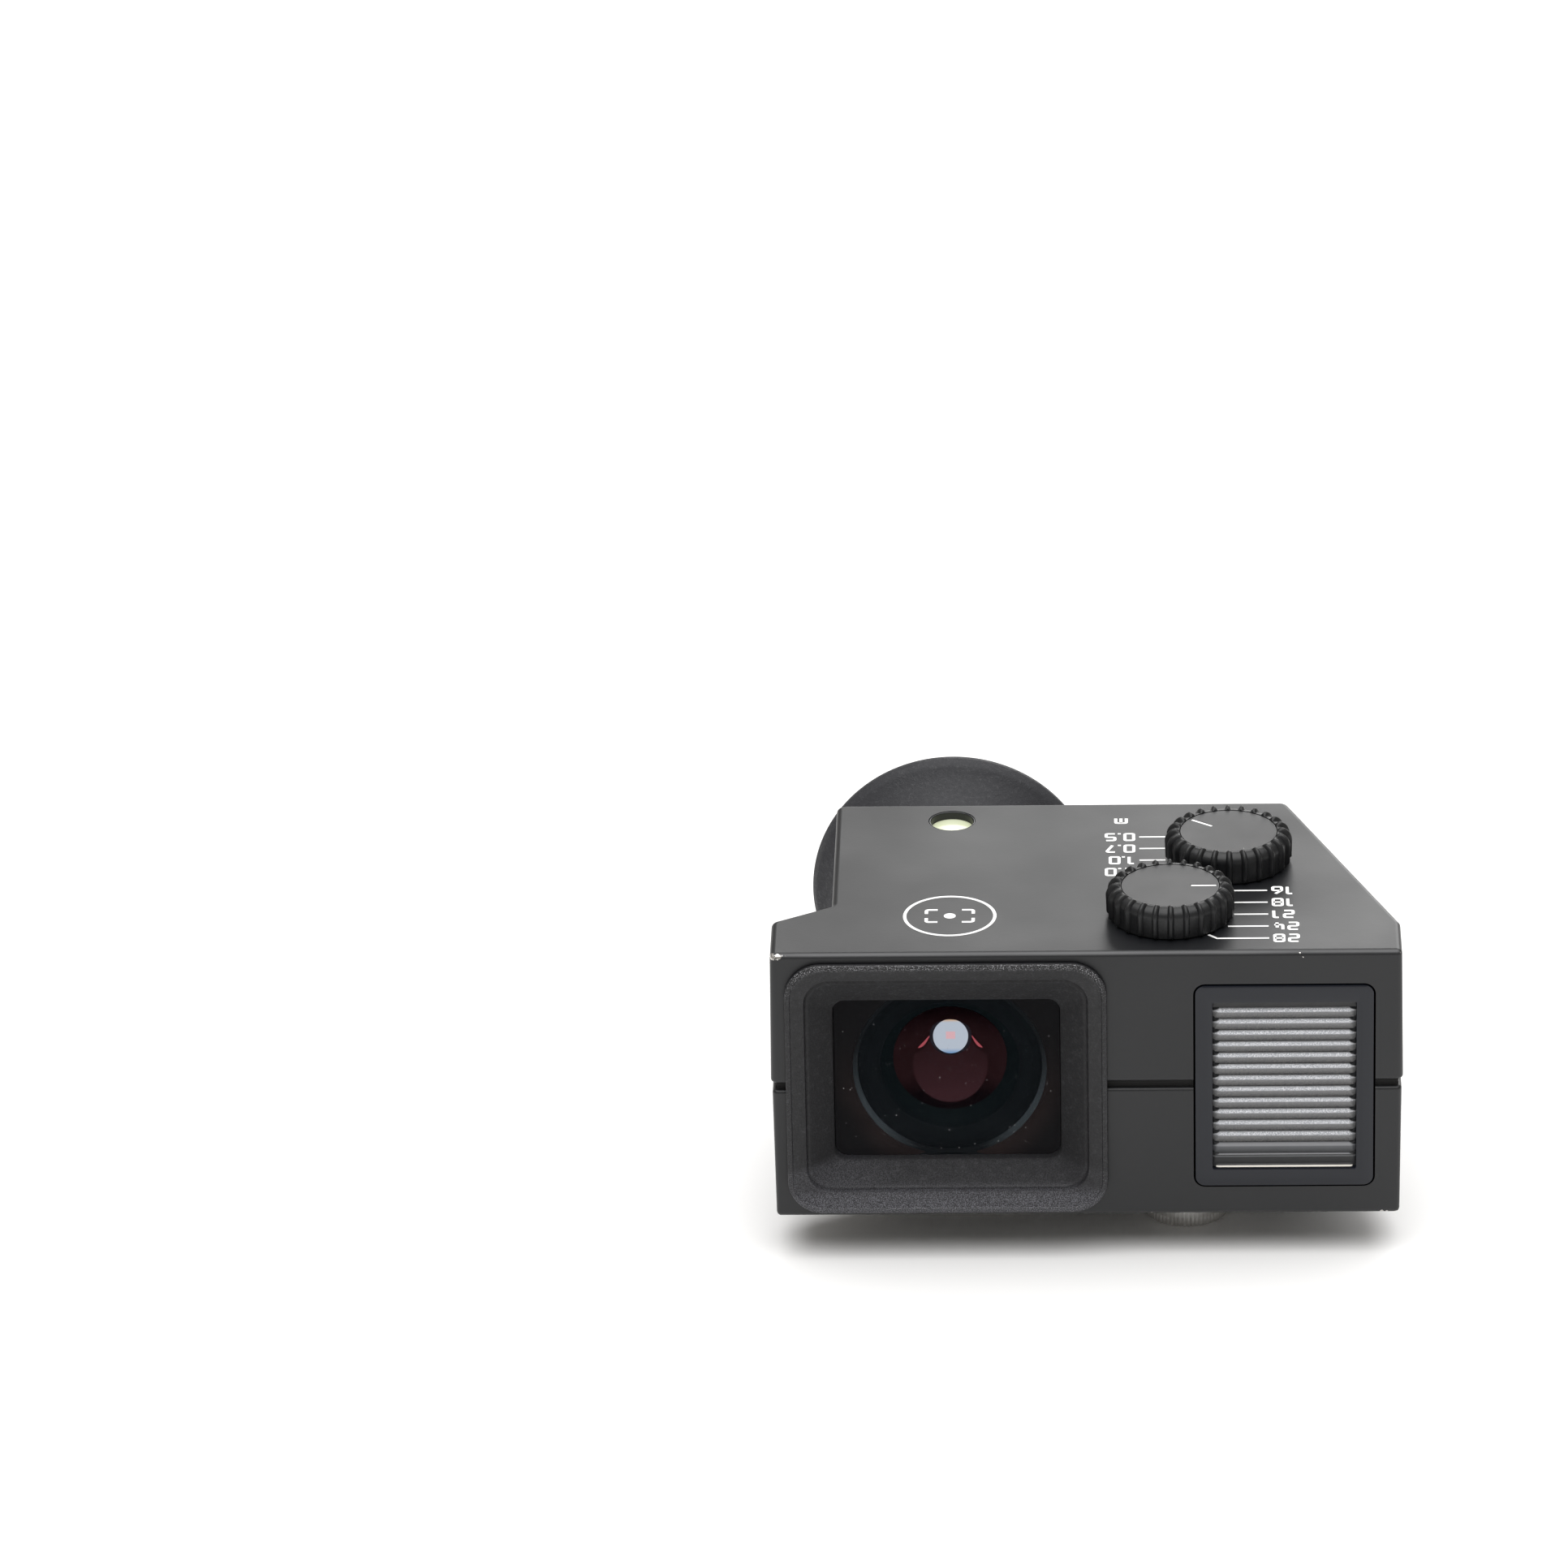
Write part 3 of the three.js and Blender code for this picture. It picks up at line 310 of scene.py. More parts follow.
enamelLook = {
    "paint": (0.0055, 0.0060, 0.0074),
    "paintWorn": (0.0078, 0.0085, 0.0102),
    # painted shade: black in the seam groove
    "groove": (0.006, 0.006, 0.006),
    "dust": (0.45, 0.45, 0.44),
    "metal": (0.62, 0.60, 0.57),
    "edge": (0.075, 0.076, 0.080),   # painted highlight: a thin light line along the front top edge
    "roughness": (0.36, 0.46),
    "grooveRoughness": 0.9,
    "metalRoughness": 0.25,
    "seamHalf": 0.46,
    "ragged": 1.8,     # how far noise moves a chip's edge, as a share of its radius
    "chips": [  # centre and radius of each worn spot on the shells
        ((left + 0.25, front + 0.20, top - 0.15), 0.55),
        ((left + 1.15, front + 0.12, top - 0.12), 0.42),
        ((left + 2.0, front + 0.14, top - 0.10), 0.22),
        ((left + 58.5, front + 0.2, top - 0.18), 0.15),
        ((left + 59.1, front + 0.1, top - 0.12), 0.10),
        ((left + 58.9, front + 0.05, top - 0.75), 0.13),
        ((right - 0.3, front + 0.2, top - 0.2), 0.26),
        ((right - 2.3, front + 0.42, bottom + 0.12), 0.24),
        ((right - 1.7, front + 0.42, bottom + 0.10), 0.20),
        ((right - 0.75, front + 0.55, bottom + 0.2), 0.16),
        ((left + 42.1, front + 0.42, bottom + 0.12), 0.16),
    ],
}


def makeEnamel(look):
    # satin enamel, faint orange peel, chips down to metal, painted edge highlight, black painted seam shade
    material, nodes, place = startMaterial("black enamel", {"Specular IOR Level": 0.46})
    peel = nodes.use(grainGroup, **{"Vector": place, "Scale": 2600.0, "Coarse Share": 0.5})
    cloud = nodes.noise(place, 55.0, 3.0)
    dust = nodes.use(dustGroup, Vector=place, Scale=420.0, Share=0.05, Dot=0.07)
    chipped = None
    for centre, radius in look["chips"]:
        spot = nodes.use(chipGroup, Vector=place, Centre=[value * mm for value in centre],
                         Radius=radius * mm, Ragged=radius * look["ragged"] * mm)
        chipped = nodes.math("MAXIMUM", chipped, (spot, 0)) if chipped else (spot, 0)
    _, y, z = nodes.axes(place)
    # black painted shade in the seam groove
    groove = nodes.within(z, seam, look["seamHalf"])
    paint = nodes.mix(cloud, look["paint"], look["paintWorn"])
    # painted highlight: a thin light line along the front top edge, broken up by the cloud
    high = nodes.slope(z, top - 0.42, top - 0.22)
    near = nodes.slope(y, front + 0.62, front + 0.42)
    edgeHighlight = nodes.product(high, near, nodes.ramp(cloud, 0.25, 0.6, 0.35, 1.0))
    paint = nodes.mix(edgeHighlight, paint, look["edge"])
    paint = nodes.mix((dust, 0), paint, look["dust"])
    paint = nodes.mix(groove, paint, look["groove"])
    nodes.feed("Base Color", nodes.mix(chipped, paint, look["metal"]))
    satin = nodes.ramp(cloud, 0.3, 0.7, *look["roughness"])
    rough = nodes.blend(groove, satin, look["grooveRoughness"])
    nodes.feed("Roughness", nodes.blend(chipped, rough, look["metalRoughness"]))
    nodes.feed("Metallic", chipped)
    nodes.bump(nodes.minus((peel, "Height"), nodes.product(chipped, 6.0)), 0.12, 0.06)
    return material


def startGrained(name, colour, peakColour, roughness, scale, bump, dustShare=0.04):
    # moulded plastic or rubber with a fine leather-like grain and a little dust; its colour and roughness
    # are given back, not yet fed
    material, nodes, place = startMaterial(name, {"Specular IOR Level": 0.4})
    grain = nodes.use(grainGroup, Vector=place, Scale=scale)
    dust = nodes.use(dustGroup, Vector=place, Scale=600.0, Share=dustShare, Dot=0.07)
    base = nodes.mix((dust, 0), nodes.mix((grain, "Peaks"), colour, peakColour), (0.4, 0.4, 0.4))
    rough = nodes.ramp((grain, "Height"), 0.3, 0.7, roughness[1], roughness[0])
    nodes.bump((grain, "Height"), bump, 0.12)
    return material, nodes, place, base, rough


def makeGrained(*look, **more):
    material, nodes, _, base, rough = startGrained(*look, **more)
    nodes.feed("Base Color", base)
    nodes.feed("Roughness", rough)
    return material


bezelGrain = ((0.009, 0.009, 0.0105), (0.024, 0.024, 0.028), (0.38, 0.58), 4200.0)


def makeBezelFinish():
    # the bezel's grain with painted light: lighter on the land along the bottom edge and up into the funnel's
    # lower left, where the overhead light falls, and a painted highlight of bright glints along the top lip
    material, nodes, place, plain, rough = startGrained("bezel rubbed", *bezelGrain, 0.7)
    x, y, z = nodes.axes(place)
    middleX, _, middleZ = bezelMiddle
    # painted light: lighter on the bottom land and the funnel's lower left, where the overhead light falls
    low = nodes.slope(z, middleZ - 11.8, middleZ - 13.6)
    inward = nodes.slope(z, middleZ - 9.6, middleZ - 10.6, 0.0, 0.45)
    corner = nodes.slope(x, middleX - 4.0, middleX - 11.0, 0.35, 1.0)
    paintedLight = nodes.math("MAXIMUM", low, nodes.product(inward, corner))
    # painted highlight along the top of the lip, with sparse bright glints
    lip = nodes.slope(y, front - 0.30, front - 0.56)
    lipHighlight = nodes.product(lip, nodes.slope(z, middleZ + 11.0, middleZ + 14.2, 0.1, 0.9))
    inside = nodes.slope(y, front + 0.5, front + 0.8, 0.0, 0.26)
    nodes.feed("Roughness", nodes.math("ADD", rough, inside))
    sparkle = nodes.use(sparkleGroup, Vector=place)
    light = nodes.mix((sparkle, "Grains"), (0.014, 0.014, 0.017), (0.11, 0.11, 0.125))
    sparse = nodes.ramp((sparkle, "Grains"), 0.72, 0.95)
    specks = nodes.mix(sparse, (0.005, 0.005, 0.006), (0.34, 0.34, 0.36))
    nodes.feed("Base Color", nodes.mix(lipHighlight, nodes.mix(paintedLight, plain, light), specks))
    return material


def makeMetal(name, colour, darkColour, roughness, pitch, centre=(0, 0, 0), bump=0.2):
    # turned or milled metal with fine tool rings about a centre
    material, nodes, place = startMaterial(name, {"Metallic": 1.0})
    cloud = nodes.noise(place, 300.0, 3.0)
    nodes.feed("Base Color", nodes.mix(cloud, colour, darkColour))
    nodes.feed("Roughness", nodes.ramp(cloud, 0.3, 0.7, *roughness))
    nodes.bump(nodes.rings(place, centre, pitch), bump, 0.03)
    return material


def makeGlass(name, tint, ior, coating):
    # clear glass with the faintest smear; a dark coating tint takes away the reflection seen straight on
    material, nodes, place = startMaterial(name, {
        "Transmission Weight": 1.0, "IOR": ior, "Metallic": 0.0, "Roughness": 0.0, "Specular Tint": coating})
    smear = nodes.noise(place, 220.0, 4.0)
    nodes.feed("Base Color", nodes.mix(smear, tint, tuple(value * 0.97 for value in tint)))
    return material


def makeFrosted():
    # frosted pane: silvery grains on grey
    material, nodes, place = startMaterial("frosted pane", {"Specular IOR Level": 0.7})
    frost = nodes.use(sparkleGroup, Vector=place)
    grains, cloud = (frost, "Grains"), (frost, "Cloud")
    base = nodes.mix(grains, (0.17, 0.17, 0.175), (0.42, 0.43, 0.45))
    nodes.feed("Base Color", nodes.mix(cloud, base, (0.21, 0.21, 0.22)))
    nodes.feed("Metallic", nodes.ramp(grains, 0.0, 1.0, 0.45, 0.85))
    nodes.feed("Roughness", nodes.ramp(cloud, 0.3, 0.7, 0.34, 0.46))
    nodes.bump(grains, 0.35, 0.03)
    return material


def makeRadialFade(name, inner, outer, centre, radius, roughness, glow=0.0, shine=0.12):
    # surface whose tint fades from the middle outwards, about an axis along Y
    # with glow the colour is also emitted, as painted light
    material, nodes, place = startMaterial(name, {"Specular IOR Level": shine, "Emission Strength": glow})
    x, _, z = nodes.axes(place)
    away = nodes.length(nodes.minus(x, centre[0] * mm), nodes.minus(z, centre[1] * mm))
    colour = nodes.mix(nodes.slope(away, *radius), inner, outer)
    nodes.feed("Base Color", colour)
    if glow:
        nodes.feed("Emission Color", colour)
    haze = nodes.noise(place, 350.0, 2.0)
    nodes.feed("Roughness", nodes.ramp(haze, 0.3, 0.7, roughness, roughness + 0.08))
    return material


def makeInlay(name, bright):
    # white enamel filled into the engraving, slightly uneven
    material, nodes, place = startMaterial(name, {"Roughness": 0.45, "Specular IOR Level": 0.3})
    stain = nodes.noise(place, 900.0, 2.0)
    nodes.feed("Base Color", nodes.mix(stain, (bright,) * 3, (bright * 0.84,) * 3))
    return material


finishes = {
    "black_enamel": makeEnamel(enamelLook),
    "bezel_black": makeGrained("bezel black", *bezelGrain, 0.6),
    "window_black": makeGrained(
        "window black", (0.004, 0.0055, 0.0105), (0.005, 0.007, 0.0125), (0.06, 0.10), 900.0, 0.01),
    "cup_rubber": makeGrained(
        "cup rubber", (0.0235, 0.024, 0.0280), (0.046, 0.047, 0.053), (0.5, 0.7), 6500.0, 0.9, 0.012),
    "grip_black": makeGrained(
        "grip black", (0.008, 0.0085, 0.0095), (0.013, 0.0135, 0.015), (0.32, 0.46), 2600.0, 0.16, 0.06),
    "coated_glass": makeGlass("coated glass", (0.97, 0.99, 1.0), ior=1.15, coating=(0.02, 0.03, 0.045)),
    "frosted_pane": makeFrosted(),
    "silvering": makeMetal("silvering", (0.8, 0.8, 0.82), (0.75, 0.75, 0.78), (0.05, 0.1), 0.2, bump=0.02),
    "anodised_black": makeMetal(
        "anodised black", (0.035, 0.035, 0.04), (0.022, 0.022, 0.026), (0.4, 0.55), 0.09, bump=0.15),
    "turned_steel": makeMetal(
        "turned steel", (0.80, 0.79, 0.77), (0.62, 0.615, 0.60), (0.3, 0.5), 0.06, wheelMiddle),
    "brass": makeMetal("brass", (0.64, 0.47, 0.20), (0.5, 0.36, 0.15), (0.28, 0.42), 0.07, focalMiddle),
    "white_fill": makeInlay("white fill", 0.95),
    "level_liquid": makeRadialFade("level liquid", (0.72, 0.76, 0.60), (0.62, 0.66, 0.46),
                               (levelMiddle[0], levelMiddle[2]), (1.0, 2.4), 0.12, shine=0.6),
}
for entry in frame["record"]["subparts"]:
    node = frame["nodes"][entry["node"]]
    node.data.materials.clear()
    node.data.materials.append(finishes[entry["material_slot"]])
print("stage: materials")


def roundPath(corners, radii, steps=6, closed=False, rest=0.0):
    # each corner becomes an arc tangent to its two sides, with a resting point `rest` before and after it
    points = np.asarray(corners, float)
    count = len(points)
    runs = []
    for index in range(count):
        if radii[index] <= 0 or (not closed and index in (0, count - 1)):
            runs.append(points[index:index + 1])
            continue
        back = points[index - 1] - points[index]
        ahead = points[(index + 1) % count] - points[index]
        back, ahead = back / np.linalg.norm(back), ahead / np.linalg.norm(ahead)
        half = math.acos(float(np.clip(back @ ahead, -1, 1))) / 2
        centre = points[index] + (back + ahead) / np.linalg.norm(back + ahead) * radii[index] / math.sin(half)
        reach = radii[index] / math.tan(half)
        first, last = points[index] + back * reach, points[index] + ahead * reach
        sweep = math.pi - 2 * half
        share = np.linspace(0, 1, steps + 1)[:, None]
        bend = np.sin((1 - share) * sweep) * (first - centre) + np.sin(share * sweep) * (last - centre)
        bend = centre + bend / math.sin(sweep)
        run = [bend]
        if rest:
            run = [first[None] + back * rest, bend, last[None] + ahead * rest]
        runs.append(np.vstack(run))
    return np.vstack(runs)


def smoothPath(points, steps=6):
    # Catmull-Rom curve through open points
    known = np.asarray(points, float)
    padded = np.vstack([2 * known[0] - known[1], known, 2 * known[-1] - known[-2]])
    share = np.linspace(0, 1, steps, endpoint=False)[:, None]
    runs = []
    for index in range(len(known) - 1):
        a, b, c, d = padded[index:index + 4]
        runs.append(0.5 * (2 * b + (c - a) * share + (2 * a - 5 * b + 4 * c - d) * share ** 2
                           + (3 * b - a - 3 * c + d) * share ** 3))
    return np.vstack(runs + [known[-1:]])


def gridFaces(rows, cols, wrapRows):
    # quads over a grid whose columns close on themselves
    row, col = np.meshgrid(np.arange(rows if wrapRows else rows - 1), np.arange(cols), indexing="ij")
    nextRow, nextCol = (row + 1) % rows, (col + 1) % cols
    return np.stack([row * cols + col, row * cols + nextCol, nextRow * cols + nextCol, nextRow * cols + col],
                    axis=-1).reshape(-1, 4)


def skin(grid, wrapRows=False, caps=True):
    # points and faces over a grid of rows x columns x 3, with a flat face over each open end
    rows, cols = grid.shape[:2]
    faces = gridFaces(rows, cols, wrapRows).tolist()
    if caps and not wrapRows:
        faces += [list(range(cols))[::-1], [(rows - 1) * cols + index for index in range(cols)]]
    return grid.reshape(-1, 3), faces


def gather(parts):
    # several point and face lists as one
    points, faces, offset = [], [], 0
    for somePoints, someFaces in parts:
        points.append(somePoints)
        faces += [[index + offset for index in face] for face in someFaces]
        offset += len(somePoints)
    return np.vstack(points), faces


def makeObject(name, data):
    # merges doubled points, drops faces with no area and turns every face outwards
    points, faces = data
    mesh = bpy.data.meshes.new(name)
    mesh.from_pydata((np.asarray(points) * mm).tolist(), [], faces)
    work = bmesh.new()
    work.from_mesh(mesh)
    bmesh.ops.remove_doubles(work, verts=work.verts, dist=2e-7)
    bmesh.ops.dissolve_degenerate(work, dist=1e-8, edges=work.edges)
    bmesh.ops.recalc_face_normals(work, faces=work.faces)
    work.to_mesh(mesh)
    work.free()
    thing = bpy.data.objects.new(name, mesh)
    bpy.context.scene.collection.objects.link(thing)
    return thing


def carve(piece, cutters):
    # cuts solids out of a piece and removes them
    for cutter in cutters:
        change = piece.modifiers.new("cut", "BOOLEAN")
        change.object = cutter
        change.operation = "DIFFERENCE"
        change.solver = "EXACT"
    bpy.context.view_layer.update()
    done = bpy.data.meshes.new_from_object(piece.evaluated_get(bpy.context.evaluated_depsgraph_get()))
    piece.modifiers.clear()
    piece.data = done
    for cutter in cutters:
        bpy.data.objects.remove(cutter)


def finishPiece(piece, slotName, replaced=(), material=None, sharp=32, body="housing"):
    # smooth shading up to a sharp angle, the finish, the body it rides on and the CAD nodes it stands for
    mesh = piece.data
    mesh.materials.clear()
    mesh.materials.append(material or finishes[slotName])
    mesh.polygons.foreach_set("use_smooth", np.ones(len(mesh.polygons), bool))
    mesh.set_sharp_from_angle(angle=math.radians(sharp))
    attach(piece, body)
    if replaced:
        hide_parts(*replaced)


def turnedGrid(profile, centre, axis, steps):
    # a profile of (radius, height along the axis) carried round the axis
    profile = np.asarray(profile, float)
    angle = np.linspace(0, 2 * math.pi, steps, endpoint=False)
    radius, height = profile[:, :1], profile[:, 1:]
    wide, deep = radius * np.cos(angle), radius * np.sin(angle)
    level = np.broadcast_to(height, wide.shape)
    if axis == "z":
        return np.stack([centre[0] + wide, centre[1] + deep, level], axis=-1)
    return np.stack([centre[0] + wide, level, centre[1] + deep], axis=-1)


def turnedPiece(name, profile, centre, axis, steps, closed=False):
    # a turned solid; the profile starts and ends on the axis, or closes on itself
    return makeObject(name, skin(turnedGrid(profile, centre, axis, steps), wrapRows=closed, caps=False))


def atLevel(ring, level):
    return np.column_stack([ring, np.full(len(ring), level)])


def rectangleRing(width, height, radius, steps=8):
    # a rectangle with round corners about 0, 0, the same number of points for any size
    halfW, halfH = width / 2, height / 2
    radius = max(radius, 0.02)
    corners = [(-halfW, -halfH), (halfW, -halfH), (halfW, halfH), (-halfW, halfH)]
    return roundPath(corners, [radius] * 4, steps, closed=True, rest=0.01)


def sectionGrid(path, middle, steps=8):
    # a rounded rectangle carried along a path of (width, height, corner radius, depth, shift along Z)
    rings = []
    for width, height, radius, depth, shift in path:
        ring = rectangleRing(width, height, radius, steps)
        x, z = ring[:, 0] + middle[0], ring[:, 1] + middle[1] + shift
        rings.append(np.column_stack([x, np.full(len(ring), depth), z]))
    return np.stack(rings)


def blockGrid(size, low, high, middle):
    # an upright rounded rectangle (width, height, corner radius) from one depth to another
    return sectionGrid([(*size, low, 0.0), (*size, high, 0.0)], middle)


def boxData(low, high):
    # a plain box for cutting
    x0, y0, z0 = low
    x1, y1, z1 = high
    base = np.array([(x0, y0), (x1, y0), (x1, y1), (x0, y1)])
    return skin(np.stack([atLevel(base, level) for level in (z0, z1)]))


shellSettings = {
    "wall": 1.6,
    "draft": 0.011,       # inset per millimetre away from the seam
    "lowerStep": 0.15,    # the lower shell is smaller all round
    "grooveHalf": 0.45,
    "grooveDepth": 0.55,
    "lipRadius": 0.42,
    "edgeRadius": 0.62,
    "bezelHole": (33.2, 28.2, 3.2),    # width, height and corner radius
    "windowHole": (20.1, 25.1, 1.3),
    "eyepieceHole": 8.9,               # radius of each round hole
    "levelHole": 2.65,
    "screwHole": 2.0,
    "spindleHole": 1.8,
    "corners": [  # from the left front corner round to the notch: x, y, corner radius
        (0.0, 0.0, 0.75), (right - left, 0.0, 0.75), (right - left, 7.6, 1.2), (57.9, rear - front, 1.3),
        (6.6, rear - front, 1.2), (6.6, 12.95, 0.6), (0.0, 8.9, 1.2),
    ],
}


def planRing(inset, level, setup):
    # the body's outline moved in by inset: each side is shifted along its inward normal and the sides
    # meet again
    corners = np.array(setup["corners"])
    points, radii = corners[:, :2], corners[:, 2]
    along = np.roll(points, -1, axis=0) - points
    along /= np.linalg.norm(along, axis=1)[:, None]
    inward = np.column_stack([-along[:, 1], along[:, 0]])
    offset = (inward * points).sum(axis=1) + inset
    before, beforeOffset = np.roll(inward, 1, axis=0), np.roll(offset, 1)
    cross = before[:, 0] * inward[:, 1] - before[:, 1] * inward[:, 0]
    moved = np.column_stack([
        (beforeOffset * inward[:, 1] - offset * before[:, 1]) / cross,
        (offset * before[:, 0] - beforeOffset * inward[:, 0]) / cross,
    ])
    bends = np.maximum(np.where(cross > 0, radii - inset, radii + inset), 0.05)
    ring = roundPath(moved + (left, front), bends, 8, closed=True, rest=0.08)
    return atLevel(ring, level)


def shellData(side, step, setup):
    # one shell: a closed wall profile of (inset, height) carried round the plan outline, with inner and
    # outer caps
    outer = top if side > 0 else bottom
    lip = seam + side * setup["grooveHalf"]
    drafted = step + setup["draft"] * abs(outer - seam)
    wall = setup["wall"] + step + 0.2
    outside = roundPath(
        [(step + setup["grooveDepth"], seam), (step + setup["grooveDepth"], lip), (step, lip),
         (drafted, outer), (drafted + 4, outer)],
        [0, 0, setup["lipRadius"], setup["edgeRadius"], 0], 7, rest=0.05)
    outside[-1] = (drafted + setup["edgeRadius"] + 0.12, outer)
    inside = np.array([(wall, outer - side * setup["wall"]), (wall, seam)])
    rings = [planRing(inset, level, setup) for inset, level in np.vstack([outside[::-1], inside[::-1]])]
    return skin(np.stack(rings))


def holeThrough(name, x, y, radius, low, high):
    return turnedPiece(name, [(0, low), (radius, low), (radius, high), (0, high)], (x, y), "z", 72)


def screwHoles(label, radius, low, high):
    return [holeThrough("sink", *middleOf(f"{label}_{index}")[:2], radius, low, high)
            for index in (1, 2, 3, 4)]


def wallOpenings(setup):
    openings = [makeObject(name, skin(blockGrid(size, front - 2, front + 4, (middle[0], middle[2]))))
                for name, size, middle in (("bezel hole", setup["bezelHole"], bezelMiddle),
                                           ("window hole", setup["windowHole"], windowMiddle))]
    radius = setup["eyepieceHole"]
    profile = [(0, rear - 4), (radius, rear - 4), (radius, rear + 2), (0, rear + 2)]
    return openings + [turnedPiece("eyepiece hole", profile, (0, axisHeight), "y", 72)]


def makeShells(setup):
    upper = makeObject("upper_body", shellData(1, 0.0, setup))
    levelHole = holeThrough("level hole", *levelMiddle[:2], setup["levelHole"], top - 3, top + 1)
    carve(upper, wallOpenings(setup) + [levelHole])
    finishPiece(upper, "black_enamel", ["upper_shell"])
    lower = makeObject("lower_body", shellData(-1, setup["lowerStep"], setup))
    sinks = screwHoles("case_screw", setup["screwHole"], bottom - 1, bottom + 1.2)
    spindle = holeThrough("spindle hole", *wheelMiddle[:2], setup["spindleHole"], bottom - 1, bottom + 2.5)
    carve(lower, wallOpenings(setup) + sinks + [spindle])
    finishPiece(lower, "black_enamel", ["lower_shell"])


makeShells(shellSettings)
print("stage: shells")


bezelSettings = {
    "outer": (35.6, 30.6, 4.0),
    "proud": 0.6,
    "opening": (25.2, 19.6, 1.4),
    "land": (31.4, 26.1, 2.9),
    "step": (30.6, 25.2, 2.6),
    "neck": (32.6, 27.6, 2.9),
    "throat": (28.0, 22.4, 1.6),
    "drop": 0.5,      # how far the opening sits below the bezel's middle
    "deep": 3.05,     # where the funnel ends and the straight passage starts
    "back": 6.1,
}


def makeBezel(setup):
    # one closed profile of (inset from the outer rectangle, depth), carried round: the lip, the sloping
    # land, a fine step, the funnel, the passage, and back along the neck. Width and height shrink
    # differently, so each ring is blended from the outer rectangle to the opening.
    outer, inner, land, step, neck, throat = (
        np.array(setup[name]) for name in ("outer", "opening", "land", "step", "neck", "throat"))
    proud = setup["proud"]
    stops = [
        (outer, 0.0, 0.0), (outer, -proud * 0.98, 0.34), (outer - (1.1, 1.1, 0.5), -proud, 0.12),
        (outer - (1.3, 1.3, 0.5), -proud + 0.16, 0.05),
        (land, 0.30, 0.05), (land - (0.25, 0.25, 0.1), 0.66, 0.06),
        (step, 0.58, 0.08), (inner, setup["deep"], 0.5), (inner, setup["back"], 0.1),
        (throat, setup["back"], 0.0), (throat, 3.2, 0.0), (neck, 3.2, 0.0), (neck, 0.0, 0.0),
    ]
    # a path in (width, height, corner radius, depth, shift), rounded stop by stop
    corners = []
    for size, depth, _ in stops:
        shift = -setup["drop"] if depth >= setup["deep"] and size is not neck else 0.0
        corners.append(np.append(size, (depth, shift)))
    path = roundPath(corners, [bend for _, _, bend in stops], 6) + (0, 0, 0, front, 0)
    rings = sectionGrid(path, (bezelMiddle[0], bezelMiddle[2]), 14)
    bezel = makeObject("funnel_bezel", skin(rings, wrapRows=True))
    finishPiece(bezel, "bezel_black", ["front_bezel"], makeBezelFinish(), sharp=40)


objectiveSettings = {
    "bulge": 75.0,
    "apex": 2.45,
    "thick": 1.1,
    "ringDepth": 4.4,
    "ringRadius": 10.75,
    "tealRadius": 7.75,
    "wineRadius": 6.35,
    "wineDepth": 7.4,
    "pupil": (1.96, 2.12),   # half width and half height of the bright disc
    "pupilDepth": 13.2,
    "glow": 1.0,
    # the colours below are emitted: painted light and painted reflections seen in the objective
    "tealGlow": (0.0024, 0.0035, 0.0040),
    "tubeGlow": (0.0032, 0.0038, 0.0044),
    "wineReflection": (0.0112, 0.0045, 0.0050),
    "wineHigh": (0.0016, 0.0006, 0.0008),
    "wineLow": (0.0014, 0.0010, 0.0013),
    "moonReflection": (0.0320, 0.0125, 0.0150),
    "leafReflection": (0.3600, 0.0700, 0.0850),
    "pupilTint": (0.47, 0.51, 0.58),
    "stampTint": (0.70, 0.42, 0.45),
    "stopInner": (0.014, 0.012, 0.016),
    "stopOuter": (0.007, 0.004, 0.005),
    "fringeHigh": (0.62, 0.40, 0.24),
    "fringeLow": (0.16, 0.30, 0.52),
    "flakes": 60,       # specks of dust on the front glass
}


def startInterior(name, setup, **values):
    # an interior surface whose faint emission paints the light and reflections seen in it; also its x and
    # its height over the axis
    material, nodes, place = startMaterial(
        name, {"Specular IOR Level": 0.0, "Emission Strength": setup["glow"], **values})
    x, _, z = nodes.axes(place)
    return material, nodes, place, x, nodes.minus(z, axisHeight * mm)


def makeWine(setup):
    # painted reflection of the red lens coating seen in the bowl, emitted: a plain wine ground, a brighter
    # moon low in it, which grows towards its lower edge, and a thin pink leaf on each side of the pupil
    material, nodes, _, x, up = startInterior("wine reflection", setup, Roughness=0.4)
    disc = nodes.slope(nodes.length(x, nodes.math("ADD", up, 1.5 * mm)), 4.25, 4.13)
    chord = nodes.slope(up, -0.45, -0.62)
    moon = nodes.product(disc, chord, nodes.slope(up, -0.5, -4.8, 0.32, 1.0))
    ground = nodes.mix(nodes.slope(up, 5.6, 1.5), setup["wineHigh"], setup["wineReflection"])
    ground = nodes.mix(nodes.slope(up, -2.6, -4.6), ground, setup["wineLow"])
    ground = nodes.mix(moon, ground, setup["moonReflection"])
    along = nodes.math("DIVIDE", nodes.minus(nodes.off(x, 0.0), 2.95 * mm), 0.68 * mm)
    half = nodes.product(nodes.minus(1.0, nodes.product(along, along)), 0.24 * mm)
    leaf = nodes.math("LESS_THAN", nodes.off(up, 0.0), half)
    nodes.feed("Emission Color", nodes.mix(leaf, ground, setup["leafReflection"]))
    nodes.feed("Base Color", nodes.mix(leaf, (0.004, 0.0015, 0.002), (0.02, 0.005, 0.006)))
    return material


def makePupil(setup):
    # evenly lit disc with a small warm square in its middle and a coloured fringe, orange above and blue
    # below
    material, nodes, _, x, up = startInterior("pupil light", setup, **{"Base Color": (0, 0, 0)})
    stamp = nodes.product(nodes.within(x, 0.0, 0.52), nodes.within(up, 0.15, 0.46))
    colour = nodes.mix(stamp, setup["pupilTint"], setup["stampTint"])
    colour = nodes.mix(nodes.slope(up, -1.5, -2.1), colour, setup["fringeLow"])
    colour = nodes.mix(nodes.slope(up, 1.75, 2.12), colour, setup["fringeHigh"])
    nodes.feed("Emission Color", colour)
    return material


